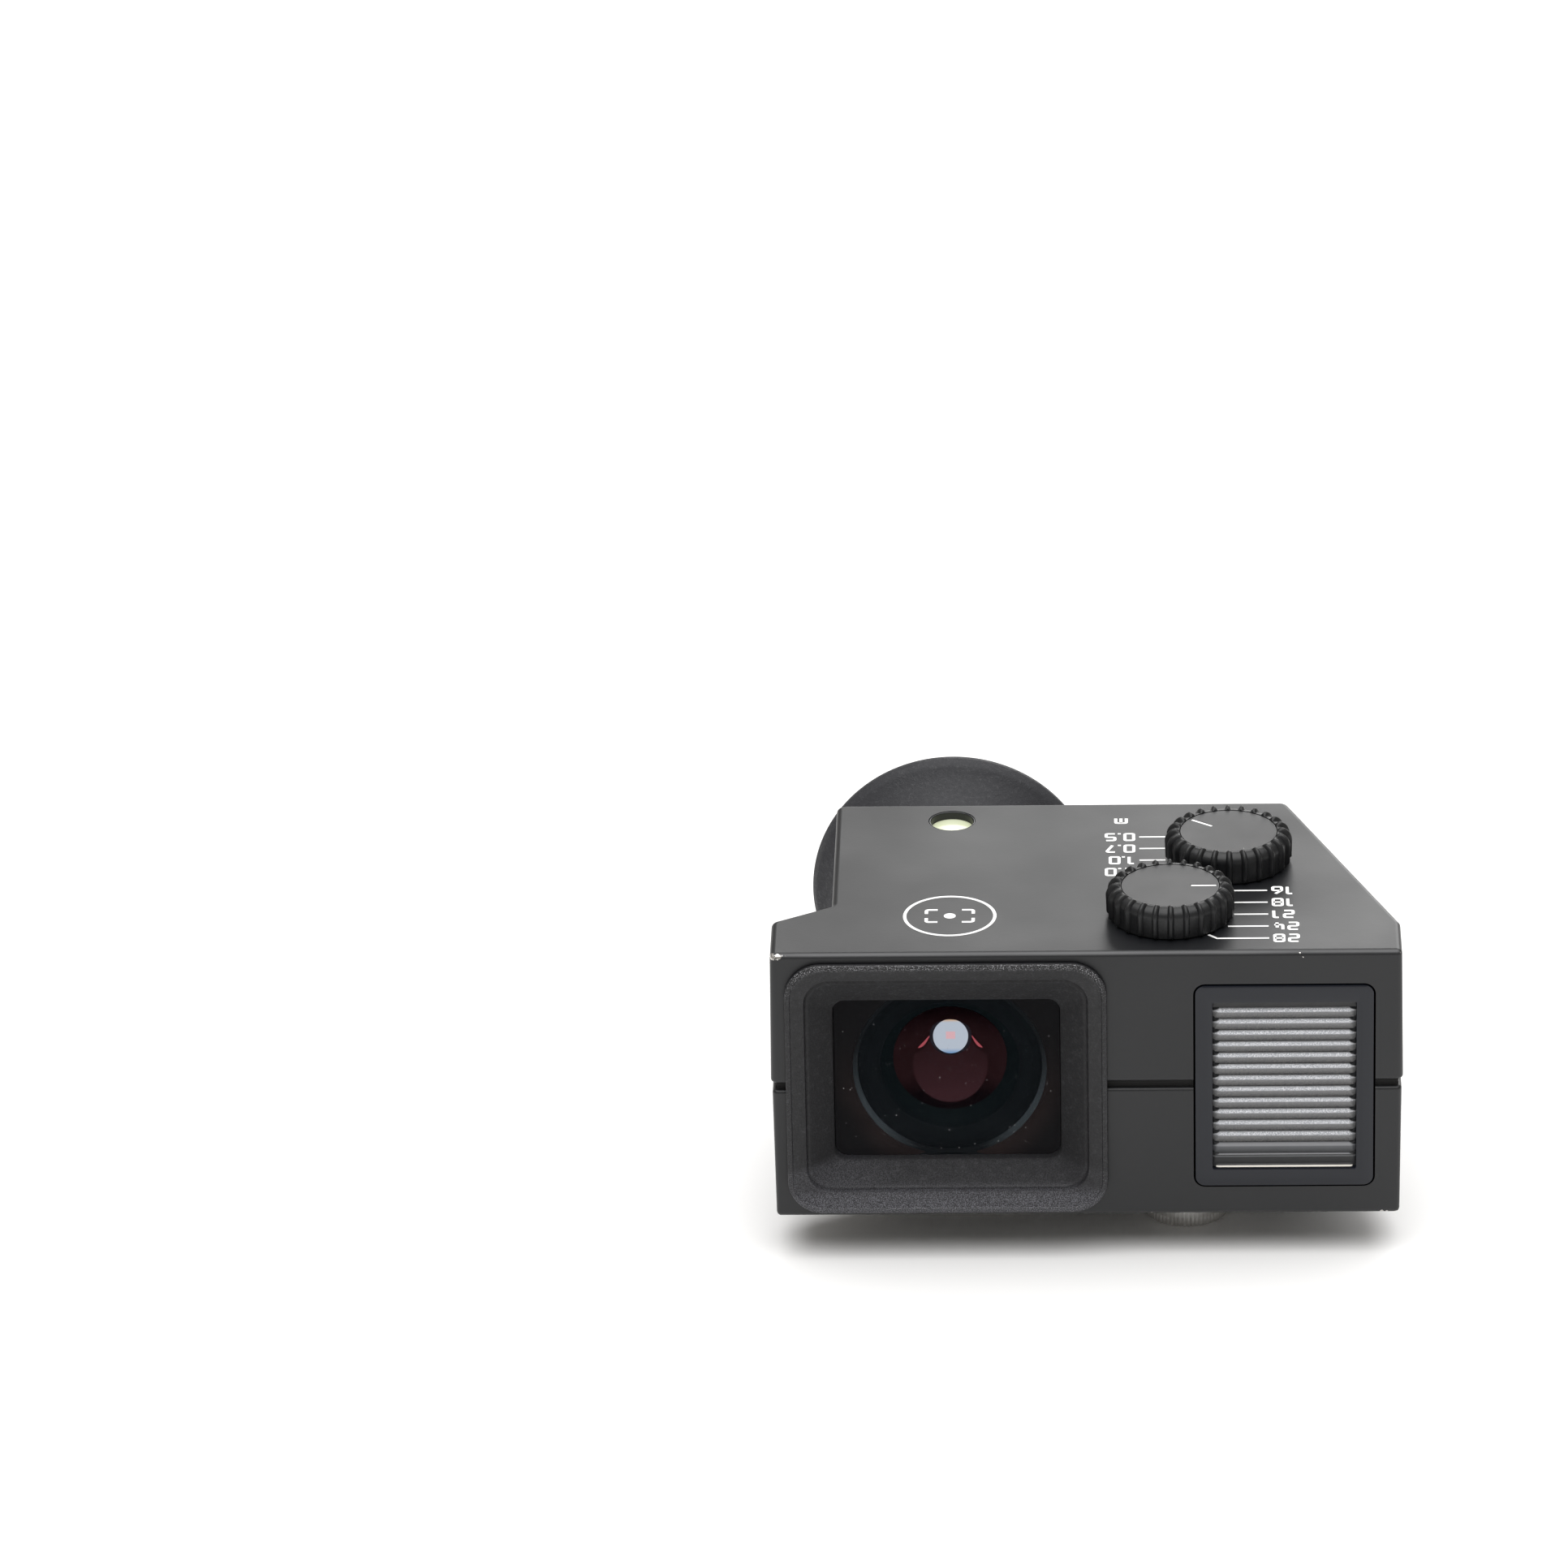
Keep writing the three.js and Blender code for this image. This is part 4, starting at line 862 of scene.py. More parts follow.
def makeRetainer(setup):
    # blackened ring with painted highlights: its emission shows a soft light arc low on each side
    material, nodes, place, x, up = startInterior("retainer", setup)
    low = nodes.product(nodes.slope(up, 3.0, -4.5), nodes.slope(nodes.off(x, 0.0), 3.5, 7.5))
    cloud = nodes.noise(place, 120.0, 1.0)
    nodes.feed("Emission Color", nodes.mix(low, (0.0065, 0.0075, 0.0085), (0.030, 0.036, 0.040)))
    nodes.feed("Base Color", nodes.mix(cloud, (0.002, 0.002, 0.002), (0.003, 0.003, 0.003)))
    return material


def makeSeat(setup):
    # blackened plate whose emission paints a faint brown glow low at both sides of the round opening
    material, nodes, place, x, up = startInterior("seat black", setup)
    haze = nodes.noise(place, 160.0, 2.0)
    away = nodes.length(x, up)
    bloom = nodes.product(nodes.slope(away, 13.6, 11.4), nodes.slope(up, 4.0, -5.0), haze)
    nodes.feed("Emission Color", nodes.mix(bloom, (0.0070, 0.0067, 0.0072), (0.0190, 0.0130, 0.0125)))
    nodes.feed("Base Color", nodes.mix(haze, (0.0020, 0.0020, 0.0022), (0.003, 0.003, 0.003)))
    nodes.feed("Roughness", nodes.ramp(haze, 0.3, 0.7, 0.35, 0.5))
    return material


def dustData(setup):
    # a handful of tiny flat flakes lying on the front glass: a jittered ring of points round each seeded
    # place
    chance = np.random.default_rng(7)
    count, sides = setup["flakes"], 6
    across = chance.uniform(-11.6, 11.6, count)
    upward = -8.6 + 17.0 * chance.beta(0.9, 1.6, count)
    size = chance.uniform(0.02, 0.05, count)
    angle = np.linspace(0, 2 * math.pi, sides, endpoint=False)[None] + chance.uniform(0, 6, count)[:, None]
    reach = size[:, None] * chance.uniform(0.6, 1.3, (count, sides))
    x = across[:, None] + reach * np.cos(angle)
    z = upward[:, None] + reach * np.sin(angle) * 1.2
    away = np.sqrt(x ** 2 + z ** 2)
    fall = setup["bulge"] - np.sqrt(setup["bulge"] ** 2 - away ** 2)
    face = front + setup["apex"] + fall
    rings = np.stack([np.stack([x + bezelMiddle[0], face - lift, z + openingHeight], axis=-1)
                      for lift in (0.035, 0.005)], axis=1)
    return gather([skin(ring) for ring in rings])


openingHeight = bezelMiddle[2] - bezelSettings["drop"]


def frontGlassData(setup):
    # rectangular meniscus: a rounded rectangle shrunk towards the middle, each point pushed back by the
    # sag of its distance from the middle, once for the front face and once for the back
    width, height, radius = bezelSettings["opening"]
    width, height = width - 0.12, height - 0.12
    edge = rectangleRing(width, height, radius - 0.06, 8)
    shares = np.linspace(0, 1, 22)
    rows = []
    for face, depth in (("front", setup["apex"]), ("back", setup["apex"] + setup["thick"])):
        curve = setup["bulge"] if face == "front" else setup["bulge"] * 0.72
        scaled = edge[None] * (shares if face == "front" else shares[::-1])[:, None, None]
        away = np.linalg.norm(scaled, axis=2)
        fall = curve - np.sqrt(curve ** 2 - away ** 2)
        rows.append(np.stack([scaled[..., 0] + bezelMiddle[0], front + depth + fall,
                              scaled[..., 1] + openingHeight], axis=-1))
    return skin(np.concatenate(rows), caps=False)


def makeObjective(setup):
    glass = makeObject("front_glass", frontGlassData(setup))
    finishPiece(glass, "coated_glass", ["objective_lens"])
    axis = (0.0, axisHeight)
    ring = front + setup["ringDepth"]
    # blackened plate behind the glass with a bevelled round opening
    plate = makeObject("glass_seat", skin(blockGrid(
        (25.0, 19.4, 1.2), ring, ring + 1.6, (bezelMiddle[0], openingHeight))))
    carve(plate, [turnedPiece("bore", [
        (0, ring - 1), (setup["ringRadius"] + 1.0, ring - 1), (setup["ringRadius"], ring + 0.3),
        (setup["ringRadius"], ring + 3), (0, ring + 3)], axis, "y", 128)])
    finishPiece(plate, "anodised_black", ["objective_ring"], makeSeat(setup), sharp=25)
    # retaining ring with painted highlight arcs, then the dark throat stepping down to the painted wine
    # reflection
    wide, narrow = setup["ringRadius"] - 0.02, setup["ringRadius"] - 0.5
    lip = roundPath([(wide, ring + 0.35), (narrow, ring + 0.35), (narrow, ring + 1.5), (wide, ring + 1.5)],
                    [0.14, 0.2, 0, 0], 5, closed=True)
    retainer = turnedPiece("glass_retainer", lip, axis, "y", 128, closed=True)
    finishPiece(retainer, "anodised_black", (), makeRetainer(setup), sharp=40)
    inner = setup["ringRadius"] - 0.55
    baffle = roundPath(
        [(inner, ring + 1.0), (inner - 0.9, ring + 1.15), (setup["tealRadius"], ring + 1.2),
         (setup["tealRadius"] - 0.2, ring + 1.6), (setup["wineRadius"], front + setup["wineDepth"]),
         (setup["wineRadius"], ring + 4.8), (inner, ring + 4.8)],
        [0, 0.1, 0.1, 0.1, 0.1, 0, 0], 4)
    tube = turnedPiece("objective_tube", baffle, axis, "y", 128, closed=True)
    glow = setup["glow"]
    # teal painted light, emitted by the tube and fading outwards
    teal = makeRadialFade("tube teal", setup["tealGlow"], setup["tubeGlow"], axis, (7.6, 7.8), 0.4, glow, 0.0)
    finishPiece(tube, "anodised_black", ["lens_tube"], teal, sharp=25)
    # bowl of glass painted with a wine reflection, a dark eye, and the eyepiece's bright exit pupil at its
    # bottom
    wine = front + setup["wineDepth"]
    width, height = setup["pupil"]
    bowl = smoothPath([(setup["wineRadius"] - 0.02, wine - 0.1), (5.4, wine + 0.55), (4.2, wine + 1.8),
                       (3.1, wine + 3.4), (2.35, front + setup["pupilDepth"] + 0.2)], 8)
    outside = bowl[::-1] + (0.0, 0.5)
    wineBowl = turnedPiece("wine_bowl", np.vstack([bowl, outside]), axis, "y", 128, closed=True)
    finishPiece(wineBowl, "coated_glass", ["negative_lens"], makeWine(setup), sharp=30)
    pupil = front + setup["pupilDepth"]
    disc = turnedGrid([(0, pupil), (width, pupil), (width, pupil + 0.2), (0, pupil + 0.2)], axis, "y", 128)
    disc[..., 2] = axisHeight + (disc[..., 2] - axisHeight) * height / width
    lit = makeObject("exit_pupil", skin(disc, caps=False))
    finishPiece(lit, "coated_glass", (), makePupil(setup))
    # dark stop round the pupil, its faint colour emitted as painted light
    edge = width + 0.02
    section = [(edge, pupil + 0.1), (2.9, pupil + 0.1), (2.9, pupil + 0.6), (edge, pupil + 0.6)]
    stop = turnedPiece("pupil_stop", section, axis, "y", 128, closed=True)
    finishPiece(stop, "anodised_black", (), makeRadialFade(
        "pupil stop", setup["stopInner"], setup["stopOuter"], axis, (2.0, 3.0), 0.5, glow, 0.0))
    dust = makeObject("glass_dust", dustData(setup))
    finishPiece(dust, "white_fill", (), makeInlay("glass dust", 0.4))


makeBezel(bezelSettings)
makeObjective(objectiveSettings)
print("stage: objective")


windowSettings = {
    "plate": (19.7, 24.7, 1.1),
    "recess": 0.15,
    "ribbed": (15.8, 20.4),
    "head": 0.80,      # plain strip above the first rib
    "pitch": 1.385,
    "ribs": 13,
    "shoulder": 0.2,   # share of the pitch taken by the steep upper slope
    "rise": 0.40,
    "mitre": 0.72,     # how far a rib's ends taper in
    "base": 0.78,      # depth of the valleys behind the front face
}


def ribbedData(setup):
    # height field over the pane: below the plain strip each rib climbs quickly to its crest and falls
    # back slowly to the next valley, and its ends are cut down by a slope towards each side; a last low
    # wave closes the pane
    width, height = setup["ribbed"]
    edge = setup["mitre"] * 1.05
    across = np.unique(np.concatenate([np.linspace(0, edge, 9), np.linspace(edge, width - edge, 5),
                                       np.linspace(width - edge, width, 9)]))
    steep = setup["shoulder"]
    share = np.concatenate([np.linspace(0, steep, 5, endpoint=False),
                            steep + (1 - steep) * np.linspace(0, 1, 9)[:-1]])
    swell = np.where(share < steep, np.sin(np.pi / 2 * share / steep),
                     1 - ((share - steep) / (1 - steep)) ** 1.7)
    strong = np.where(np.arange(setup["ribs"]) < setup["ribs"] - 1, 1.0, 0.7)[:, None]
    down = setup["head"] + setup["pitch"] * (np.arange(setup["ribs"])[:, None] + share[None]).ravel()
    tail = setup["head"] + setup["pitch"] * setup["ribs"]
    down = np.concatenate([[0, 0.12, 0.24, setup["head"] - 0.02], down,
                           [tail, tail + 0.2, tail + 0.5, height - 0.3, height]])
    ridge = np.concatenate([[0.3, 0.3, 0, 0], (strong * swell[None]).ravel(), [0, 0.5, 0.3, 0.0, 0.8]])
    down, ridge = down[::-1], ridge[::-1]
    wide, fall = np.meshgrid(across, down)
    fromSide = np.minimum(wide, width - wide) / setup["mitre"]
    rise = setup["rise"] * np.minimum(ridge[:, None], fromSide)
    x = windowMiddle[0] - width / 2 + wide
    z = windowMiddle[2] + height / 2 - fall
    face = front + setup["base"] - rise
    rows, cols = wide.shape
    points = np.stack([x, face, z], axis=-1).reshape(-1, 3)
    start = (np.arange(rows - 1)[:, None] * cols + np.arange(cols - 1)[None]).reshape(-1, 1)
    faces = start + np.array([0, 1, cols + 1, cols])
    rim = np.concatenate([np.arange(cols), np.arange(1, rows) * cols + cols - 1,
                          (rows - 1) * cols + np.arange(cols - 2, -1, -1), np.arange(rows - 2, 0, -1) * cols])
    back = points[rim] * (1, 0, 1) + (0, front + 2.4, 0)
    count, base = len(rim), len(points)
    behind = np.arange(count)
    sides = np.column_stack([rim, np.roll(rim, -1), base + (behind + 1) % count, base + behind])
    return np.vstack([points, back]), faces.tolist() + sides.tolist() + [list(range(base, base + count))]


def makeRibGlass(setup):
    # moulded glass with painted light: the share of a pitch below the last valley, from the height, picks a
    # frosted painted highlight on the steep slope and a grey painted shade darkening down the long one;
    # the valleys, the strip above the first rib, the dim last rib and a streak below it are painted shade,
    # and the pale bottom edge is painted light
    material, nodes, place = startMaterial("rib glass", {"Specular IOR Level": 0.35})
    width, height = setup["ribbed"]
    ribs = setup["ribs"]
    frost = nodes.use(sparkleGroup, Vector=place)
    grains = (frost, "Grains")
    x, _, z = nodes.axes(place)
    firstValley = windowMiddle[2] + height / 2 - setup["head"]
    turns = nodes.math("DIVIDE", nodes.minus(firstValley * mm, z), setup["pitch"] * mm)
    share = nodes.math("FRACT", turns)
    away = nodes.off(x, windowMiddle[0])
    hip = nodes.slope(away, width / 2 - 0.75, width / 2 - 0.05, 0.0, 0.24)
    fromHip = nodes.minus(share, hip)
    # painted highlight band on the frosted steep slope, and painted shade in the valleys
    band = nodes.product(nodes.ramp(fromHip, 0.0, 0.08), nodes.ramp(share, 0.36, 0.25))
    valleyShade = nodes.math("MAXIMUM", nodes.ramp(fromHip, 0.02, -0.02),
                     nodes.ramp(nodes.math("ADD", share, hip), 0.97, 1.0))
    fade = nodes.ramp(share, 0.28, 0.98)
    # the highlight's frosted grains, and a grey painted shade darkening down the long slope
    white = nodes.mix(grains, (0.34, 0.355, 0.385), (0.72, 0.73, 0.76))
    grey = nodes.mix(fade, (0.175, 0.18, 0.19), (0.034, 0.035, 0.037))
    grey = nodes.mix(nodes.product(grains, 0.22), grey, (0.40, 0.38, 0.35))
    colour = nodes.mix(band, grey, white)
    # the last rib painted dimmer, as in shade
    lastRibShade = nodes.mix(fade, (0.115, 0.12, 0.13), (0.03, 0.031, 0.033))
    lastRibShade = nodes.mix(nodes.product(band, 0.3), lastRibShade, (0.5, 0.5, 0.52))
    colour = nodes.mix(nodes.math("GREATER_THAN", turns, ribs - 1.0), colour, lastRibShade)
    colour = nodes.mix(valleyShade, colour, (0.016, 0.017, 0.019))
    # below the last rib: painted shade with a thin painted highlight streak
    fromStreak = nodes.math("ABSOLUTE", nodes.minus(turns, ribs + 0.24))
    shade = nodes.mix(nodes.ramp(fromStreak, 0.09, 0.05), (0.026, 0.027, 0.029), (0.11, 0.115, 0.12))
    colour = nodes.mix(nodes.math("GREATER_THAN", turns, ribs + 0.1), colour, shade)
    # painted light: the bottom edge pale, as lit from above
    lip = nodes.product(nodes.math("LESS_THAN", z, (windowMiddle[2] - height / 2 + 0.14) * mm),
                        nodes.math("LESS_THAN", away, (width / 2 - 0.35) * mm))
    colour = nodes.mix(lip, colour, (0.80, 0.77, 0.70))
    # painted shade over the strip above the first rib
    topStripShade = nodes.math("LESS_THAN", turns, 0.0)
    nodes.feed("Base Color", nodes.mix(topStripShade, colour, (0.045, 0.046, 0.048)))
    nodes.feed("Roughness", nodes.ramp((frost, "Cloud"), 0.3, 0.7, 0.36, 0.5))
    nodes.bump(grains, 0.3, 0.03)
    return material


def makeWindow(setup):
    plateSize = setup["plate"]
    openingSize = (setup["ribbed"][0] + 0.06, setup["ribbed"][1] + 0.06, 0.12)
    face, behind = front + setup["recess"], front + 2.6
    # the plate's section from its back edge over the face and down into the opening
    stops = [(*plateSize, behind, 0), (*plateSize, face, 0),
             (*openingSize, face, 0), (*openingSize, behind, 0)]
    rings = sectionGrid(roundPath(stops, [0, 0.12, 0.14, 0], 4), (windowMiddle[0], windowMiddle[2]))
    plate = makeObject("window_mask", skin(rings, wrapRows=True))
    finishPiece(plate, "window_black", ["window_plate"])
    pane = makeObject("ribbed_pane", ribbedData(setup))
    finishPiece(pane, "frosted_pane", ["window_diffuser"], makeRibGlass(setup), sharp=30)


makeWindow(windowSettings)
print("stage: window")


markSettings = {
    "rise": 0.02,
    "sunk": 0.05,
    "line": 0.30,
    "stroke": 0.35,
    "digit": (1.33, 2.1),
    "letterGap": 0.28,
    "pointGap": 0.55,       # share of the gap left after a point
    "labelGap": 0.45,
    "lineStep": 3.06,
    "focalLine": left + 55.2,       # where the lines next to the figures end
    "distanceLine": left + 41.05,
    "knobReach": 7.05,              # how near a line comes to its knob's middle
}

# strokes of each sign in a box from 0, 0 to 1, 1, and whether the stroke closes on itself
signs = {
    "0": [([(0, 0), (1, 0), (1, 1), (0, 1)], True)],
    "1": [([(0, 1), (0.55, 1), (0.55, 0)], False)],
    "2": [([(0, 1), (1, 1), (1, 0.5), (0, 0.5), (0, 0), (1, 0)], False)],
    "4": [([(0.05, 1), (0.05, 0.32), (1, 0.32)], False), ([(0.68, 0.72), (0.68, 0)], False)],
    "5": [([(1, 1), (0, 1), (0, 0.52), (1, 0.52), (1, 0), (0, 0)], False)],
    "6": [([(0.72, 1), (0, 0.52), (0, 0), (1, 0), (1, 0.52), (0.1, 0.52)], False)],
    "7": [([(0, 1), (1, 1), (0.28, 0)], False)],
    "8": [([(0, 0), (1, 0), (1, 1), (0, 1)], True), ([(0, 0.5), (1, 0.5)], False)],
    ".": [([(0, 0), (0, 0.001)], False)],
    "m": [([(0, 0), (0, 0.7), (1.22, 0.7), (1.22, 0)], False), ([(0.61, 0.7), (0.61, 0)], False)],
}
signWidths = {"1": 0.55, ".": 0.0, "m": 1.22}


def ribbonGrid(path, width, level, closed):
    # a flat bar along a path in the plane of the top: the path is moved to both sides by half the width,
    # mitred
    path = np.asarray(path, float)
    ahead = np.roll(path, -1, axis=0) - path
    if not closed:
        ahead[-1] = ahead[-2]
    ahead /= np.linalg.norm(ahead, axis=1)[:, None]
    back = np.roll(ahead, 1, axis=0)
    if not closed:
        back[0] = ahead[0]
    side = np.column_stack([-(ahead + back)[:, 1], (ahead + back)[:, 0]])
    side /= np.linalg.norm(side, axis=1)[:, None]
    normal = np.column_stack([-ahead[:, 1], ahead[:, 0]])
    side *= (width / 2 / np.maximum((side * normal).sum(axis=1), 0.5))[:, None]
    low = top - markSettings["sunk"]
    return np.stack([atLevel(path - side, low), atLevel(path - side, level),
                     atLevel(path + side, level), atLevel(path + side, low)], axis=1)


def stroke(corners, width, closed=False, bend=0.22):
    # a bar with softened corners
    path = roundPath(corners, [bend] * len(corners), 4, closed=closed)
    return skin(ribbonGrid(path, width, top + markSettings["rise"], closed), wrapRows=closed)


def signData(sign, x, y, setup):
    # a sign whose reading direction is -X, so it reads from behind the eyepiece
    width, height = setup["digit"][0] - setup["stroke"], setup["digit"][1] - setup["stroke"]
    half = setup["stroke"] / 2
    parts = []
    for corners, closed in signs[sign]:
        points = [(x - half - across * width, y + height / 2 - up * height) for across, up in corners]
        if sign == ".":
            points = [(x - half, y + height / 2 + half - 0.02), (x - half, y + height / 2 - half + 0.02)]
        parts.append(stroke(points, setup["stroke"], closed, 0.2 if closed or len(points) > 2 else 0))
    return parts


def signWidth(sign, setup):
    return signWidths.get(sign, 1.0) * (setup["digit"][0] - setup["stroke"]) + setup["stroke"]


def gapAfter(sign, setup):
    return setup["letterGap"] * (setup["pointGap"] if sign == "." else 1.0)


def labelData(text, x, y, setup):
    # signs side by side from x towards -X
    parts = []
    for sign in text:
        parts += signData(sign, x, y, setup)
        x -= signWidth(sign, setup) + gapAfter(sign, setup)
    return parts


def labelWidth(text, setup):
    return sum(signWidth(sign, setup) for sign in text) + sum(gapAfter(sign, setup) for sign in text[:-1])


def infinityData(x, y, setup):
    # lemniscate: x = a cos t / (1 + sin^2 t), y = a sin t cos t / (1 + sin^2 t)
    t = np.linspace(0, 2 * math.pi, 64, endpoint=False) + 0.02
    reach = 1.35
    path = np.column_stack([x + reach * np.cos(t) / (1 + np.sin(t) ** 2),
                            y + 1.5 * reach * np.sin(t) * np.cos(t) / (1 + np.sin(t) ** 2)])
    return skin(ribbonGrid(path, setup["stroke"] * 0.8, top + setup["rise"], True), wrapRows=True)


def makeScales(setup):
    parts = []
    knobReach, lineEnd, lineStart = setup["knobReach"], setup["focalLine"], setup["distanceLine"]
    # focal lengths, front knob: the outer two lines bend round to the knob
    for index, text in enumerate(("16", "18", "21", "24", "28")):
        y = focalMiddle[1] - (index - 2) * setup["lineStep"]
        away = abs(y - focalMiddle[1])
        if index in (0, 4):
            bendX = focalMiddle[0] + 5.1
            sign = 1 if index == 0 else -1
            corners = [(lineEnd, y), (bendX, y), (bendX - 0.95, y - sign * 0.95)]
            parts.append(stroke(corners, setup["line"], bend=0.02))
        else:
            startX = focalMiddle[0] + math.sqrt(knobReach ** 2 - away ** 2)
            parts.append(stroke([(startX, y), (lineEnd, y)], setup["line"], bend=0))
        x = lineEnd + setup["labelGap"] + labelWidth(text, setup)
        parts += labelData(text, x, y, setup)
    # distances, rear knob
    for index, text in enumerate(("0.5", "0.7", "1.0", "2.0", "infinity")):
        y = distanceMiddle[1] + (2 - index) * setup["lineStep"] + 0.15
        away = min(abs(y - distanceMiddle[1]), knobReach - 0.6)
        endX = distanceMiddle[0] - math.sqrt(knobReach ** 2 - away ** 2)
        parts.append(stroke([(lineStart, y), (endX, y)], setup["line"], bend=0))
        if text == "infinity":
            parts.append(infinityData(lineStart - setup["labelGap"] - 1.5, y, setup))
        else:
            parts += labelData(text, lineStart - setup["labelGap"], y, setup)
    parts += labelData("m", lineStart - 1.25, distanceMiddle[1] + 10.35, setup)
    marks = makeObject("scale_marks", gather(parts))
    finishPiece(marks, "white_fill")


ringSettings = {
    "radius": 5.0,
    "line": 0.36,
    "place": (left + 19.93, front + 9.78),
    "mark": (5.2, 3.1),
    "arm": 1.25,
    "markLine": 0.38,
    "dot": 0.66,
}


def makeRingMark(setup):
    # a ring round four corner brackets and a dot: the plain sign for a picture frame
    x, y = setup["place"]
    angle = np.linspace(0, 2 * math.pi, 120, endpoint=False)
    circle = np.column_stack([x + setup["radius"] * np.cos(angle), y + setup["radius"] * np.sin(angle)])
    level = top + markSettings["rise"]
    parts = [skin(ribbonGrid(circle, setup["line"], level, True), wrapRows=True)]
    halfW, halfH = setup["mark"][0] / 2, setup["mark"][1] / 2
    for sideX in (-1, 1):
        for sideY in (-1, 1):
            corner = (x + sideX * halfW, y + sideY * halfH)
            parts.append(stroke([(corner[0] - sideX * setup["arm"], corner[1]), corner,
                                 (corner[0], corner[1] - sideY * setup["arm"] * 0.8)],
                                setup["markLine"], bend=0.3))
    low = top - markSettings["sunk"]
    dot = [(0, level), (setup["dot"], level), (setup["dot"], low), (0, low)]
    parts.append(skin(turnedGrid(dot, (x, y), "z", 32), caps=False))
    mark = makeObject("ring_mark", gather(parts))
    finishPiece(mark, "white_fill")


levelSettings = {"radius": 2.62, "wall": 0.2, "deep": 0.8}


def makeLevel(setup):
    # glossy black liner with a round lip, and the cream disc under a thin film of fluid
    centre = levelMiddle[:2]
    outer, inner = setup["radius"], setup["radius"] - setup["wall"]
    profile = roundPath([(outer, top - 2.6), (outer, top - 0.04), (inner, top - 0.04), (inner, top - 2.6)],
                        [0, 0.1, 0.1, 0], 5)
    liner = turnedPiece("level_liner", profile, centre, "z", 96, closed=True)
    finishPiece(liner, "anodised_black", ["level_holder"], makeGrained(
        "liner black", (0.012, 0.013, 0.015), (0.016, 0.017, 0.02), (0.12, 0.2), 900.0, 0.02))
    face = top - setup["deep"]
    edge = inner - 0.03
    bulge = [(0, face), (inner * 0.7, face - 0.02), (edge, face - 0.12), (edge, face - 2.0), (0, face - 2.0)]
    vial = turnedPiece("level_disc", bulge, centre, "z", 72)
    finishPiece(vial, "level_liquid", ["level_vial"])


makeScales(markSettings)
makeRingMark(ringSettings)
makeLevel(levelSettings)
print("stage: top details")


knobSettings = {
    "ribs": 24,
    "ribWide": 0.38,      # share of the pitch that a rib covers
    "ribHigh": 0.42,
    "core": 6.76,
    "low": top + 0.2,
    "high": top + 3.65,
    "cap": 5.5,
    "bend": 1.15,
    "grooveEnds": (2.25, 5.15),     # distances from the middle
    "grooveWide": 0.42,
    "grooveDeep": 0.14,
    "lineWide": 0.30,
}


def gripData(middle, setup):
    # the grip's side profile, with each rib added along the profile's own normal: core + rib height x a
    # raised cosine across the rib, fading to nothing at the cap
    high, low = setup["high"], setup["low"]
    profile = roundPath([(setup["core"] - 0.12, low), (setup["core"], high), (setup["cap"] + 0.02, high)],
                        [0, setup["bend"], 0], 14)
    profile = np.vstack([[(setup["core"] - 0.12, low)],
                         np.column_stack([np.interp(np.linspace(0, 1, 9)[1:-1], [0, 1], profile[:2, axis])
                                          for axis in (0, 1)]), profile[1:]])
    ahead = np.gradient(profile, axis=0)
    ahead /= np.linalg.norm(ahead, axis=1)[:, None]
    normal = np.column_stack([ahead[:, 1], -ahead[:, 0]])
    length = np.concatenate([[0], np.cumsum(np.linalg.norm(np.diff(profile, axis=0), axis=1))])
    fade = np.sqrt(np.clip((length[-1] - length) / 0.42, 0, 1)) * np.clip(0.35 + length / 0.3, 0, 1)
    steps = setup["ribs"] * 14
    angle = np.linspace(0, 2 * math.pi, steps, endpoint=False)
    part = (angle * setup["ribs"] / (2 * math.pi) + 0.5) % 1.0 - 0.5
    wave = np.sqrt(np.clip(1 - (np.abs(part) / (setup["ribWide"] / 2)) ** 2, 0, 1))
    rise = setup["ribHigh"] * fade[:, None] * wave[None]
    radius = profile[:, :1] + normal[:, :1] * rise
    level = profile[:, 1:] + normal[:, 1:] * rise
    outer = np.stack([middle[0] + radius * np.cos(angle), middle[1] + radius * np.sin(angle), level], axis=-1)
    inner = turnedGrid([(setup["cap"], high), (setup["cap"], high - 0.9), (1.9, high - 0.9), (1.9, low)],
                       middle[:2], "z", steps)
    return skin(np.concatenate([outer, inner]), wrapRows=True)


def makeKnob(label, middle, heading, setup):
    body = f"{label}_dial"
    grip = makeObject(f"{label}_ribbed_grip", gripData(middle, setup))
    finishPiece(grip, "grip_black", [f"{label}_grip"], sharp=48, body=body)
    high, reach = setup["high"] - 0.03, setup["cap"] - 0.07
    profile = roundPath([(0, high), (reach, high), (reach, high - 0.8), (0, high - 0.8)],
                        [0, 0.06, 0, 0], 4, rest=0.02)
    disc = turnedPiece(f"{label}_disc", profile, middle[:2], "z", 120)
    path = middle[:2] + np.outer(setup["grooveEnds"], (math.cos(heading), math.sin(heading)))
    floor = high - setup["grooveDeep"]
    groove = ribbonGrid(path, setup["grooveWide"], high + 0.5, False)
    groove[..., 2] = np.where(groove[..., 2] > high, high + 0.5, floor)
    carve(disc, [makeObject("groove", skin(groove))])
    finishPiece(disc, "black_enamel", [f"{label}_cap"], makeCapFinish(label, middle), body=body)
    inlay = ribbonGrid(path, setup["lineWide"], high, False)
    inlay[..., 2] = np.where(inlay[..., 2] >= high, high - 0.03, floor)
    inlay[0, :, :2] += (path[1] - path[0]) * 0.02
    inlay[1, :, :2] -= (path[1] - path[0]) * 0.02
    line = makeObject(f"{label}_line", skin(inlay))
    finishPiece(line, "white_fill", [f"{label}_pointer"], body=body)


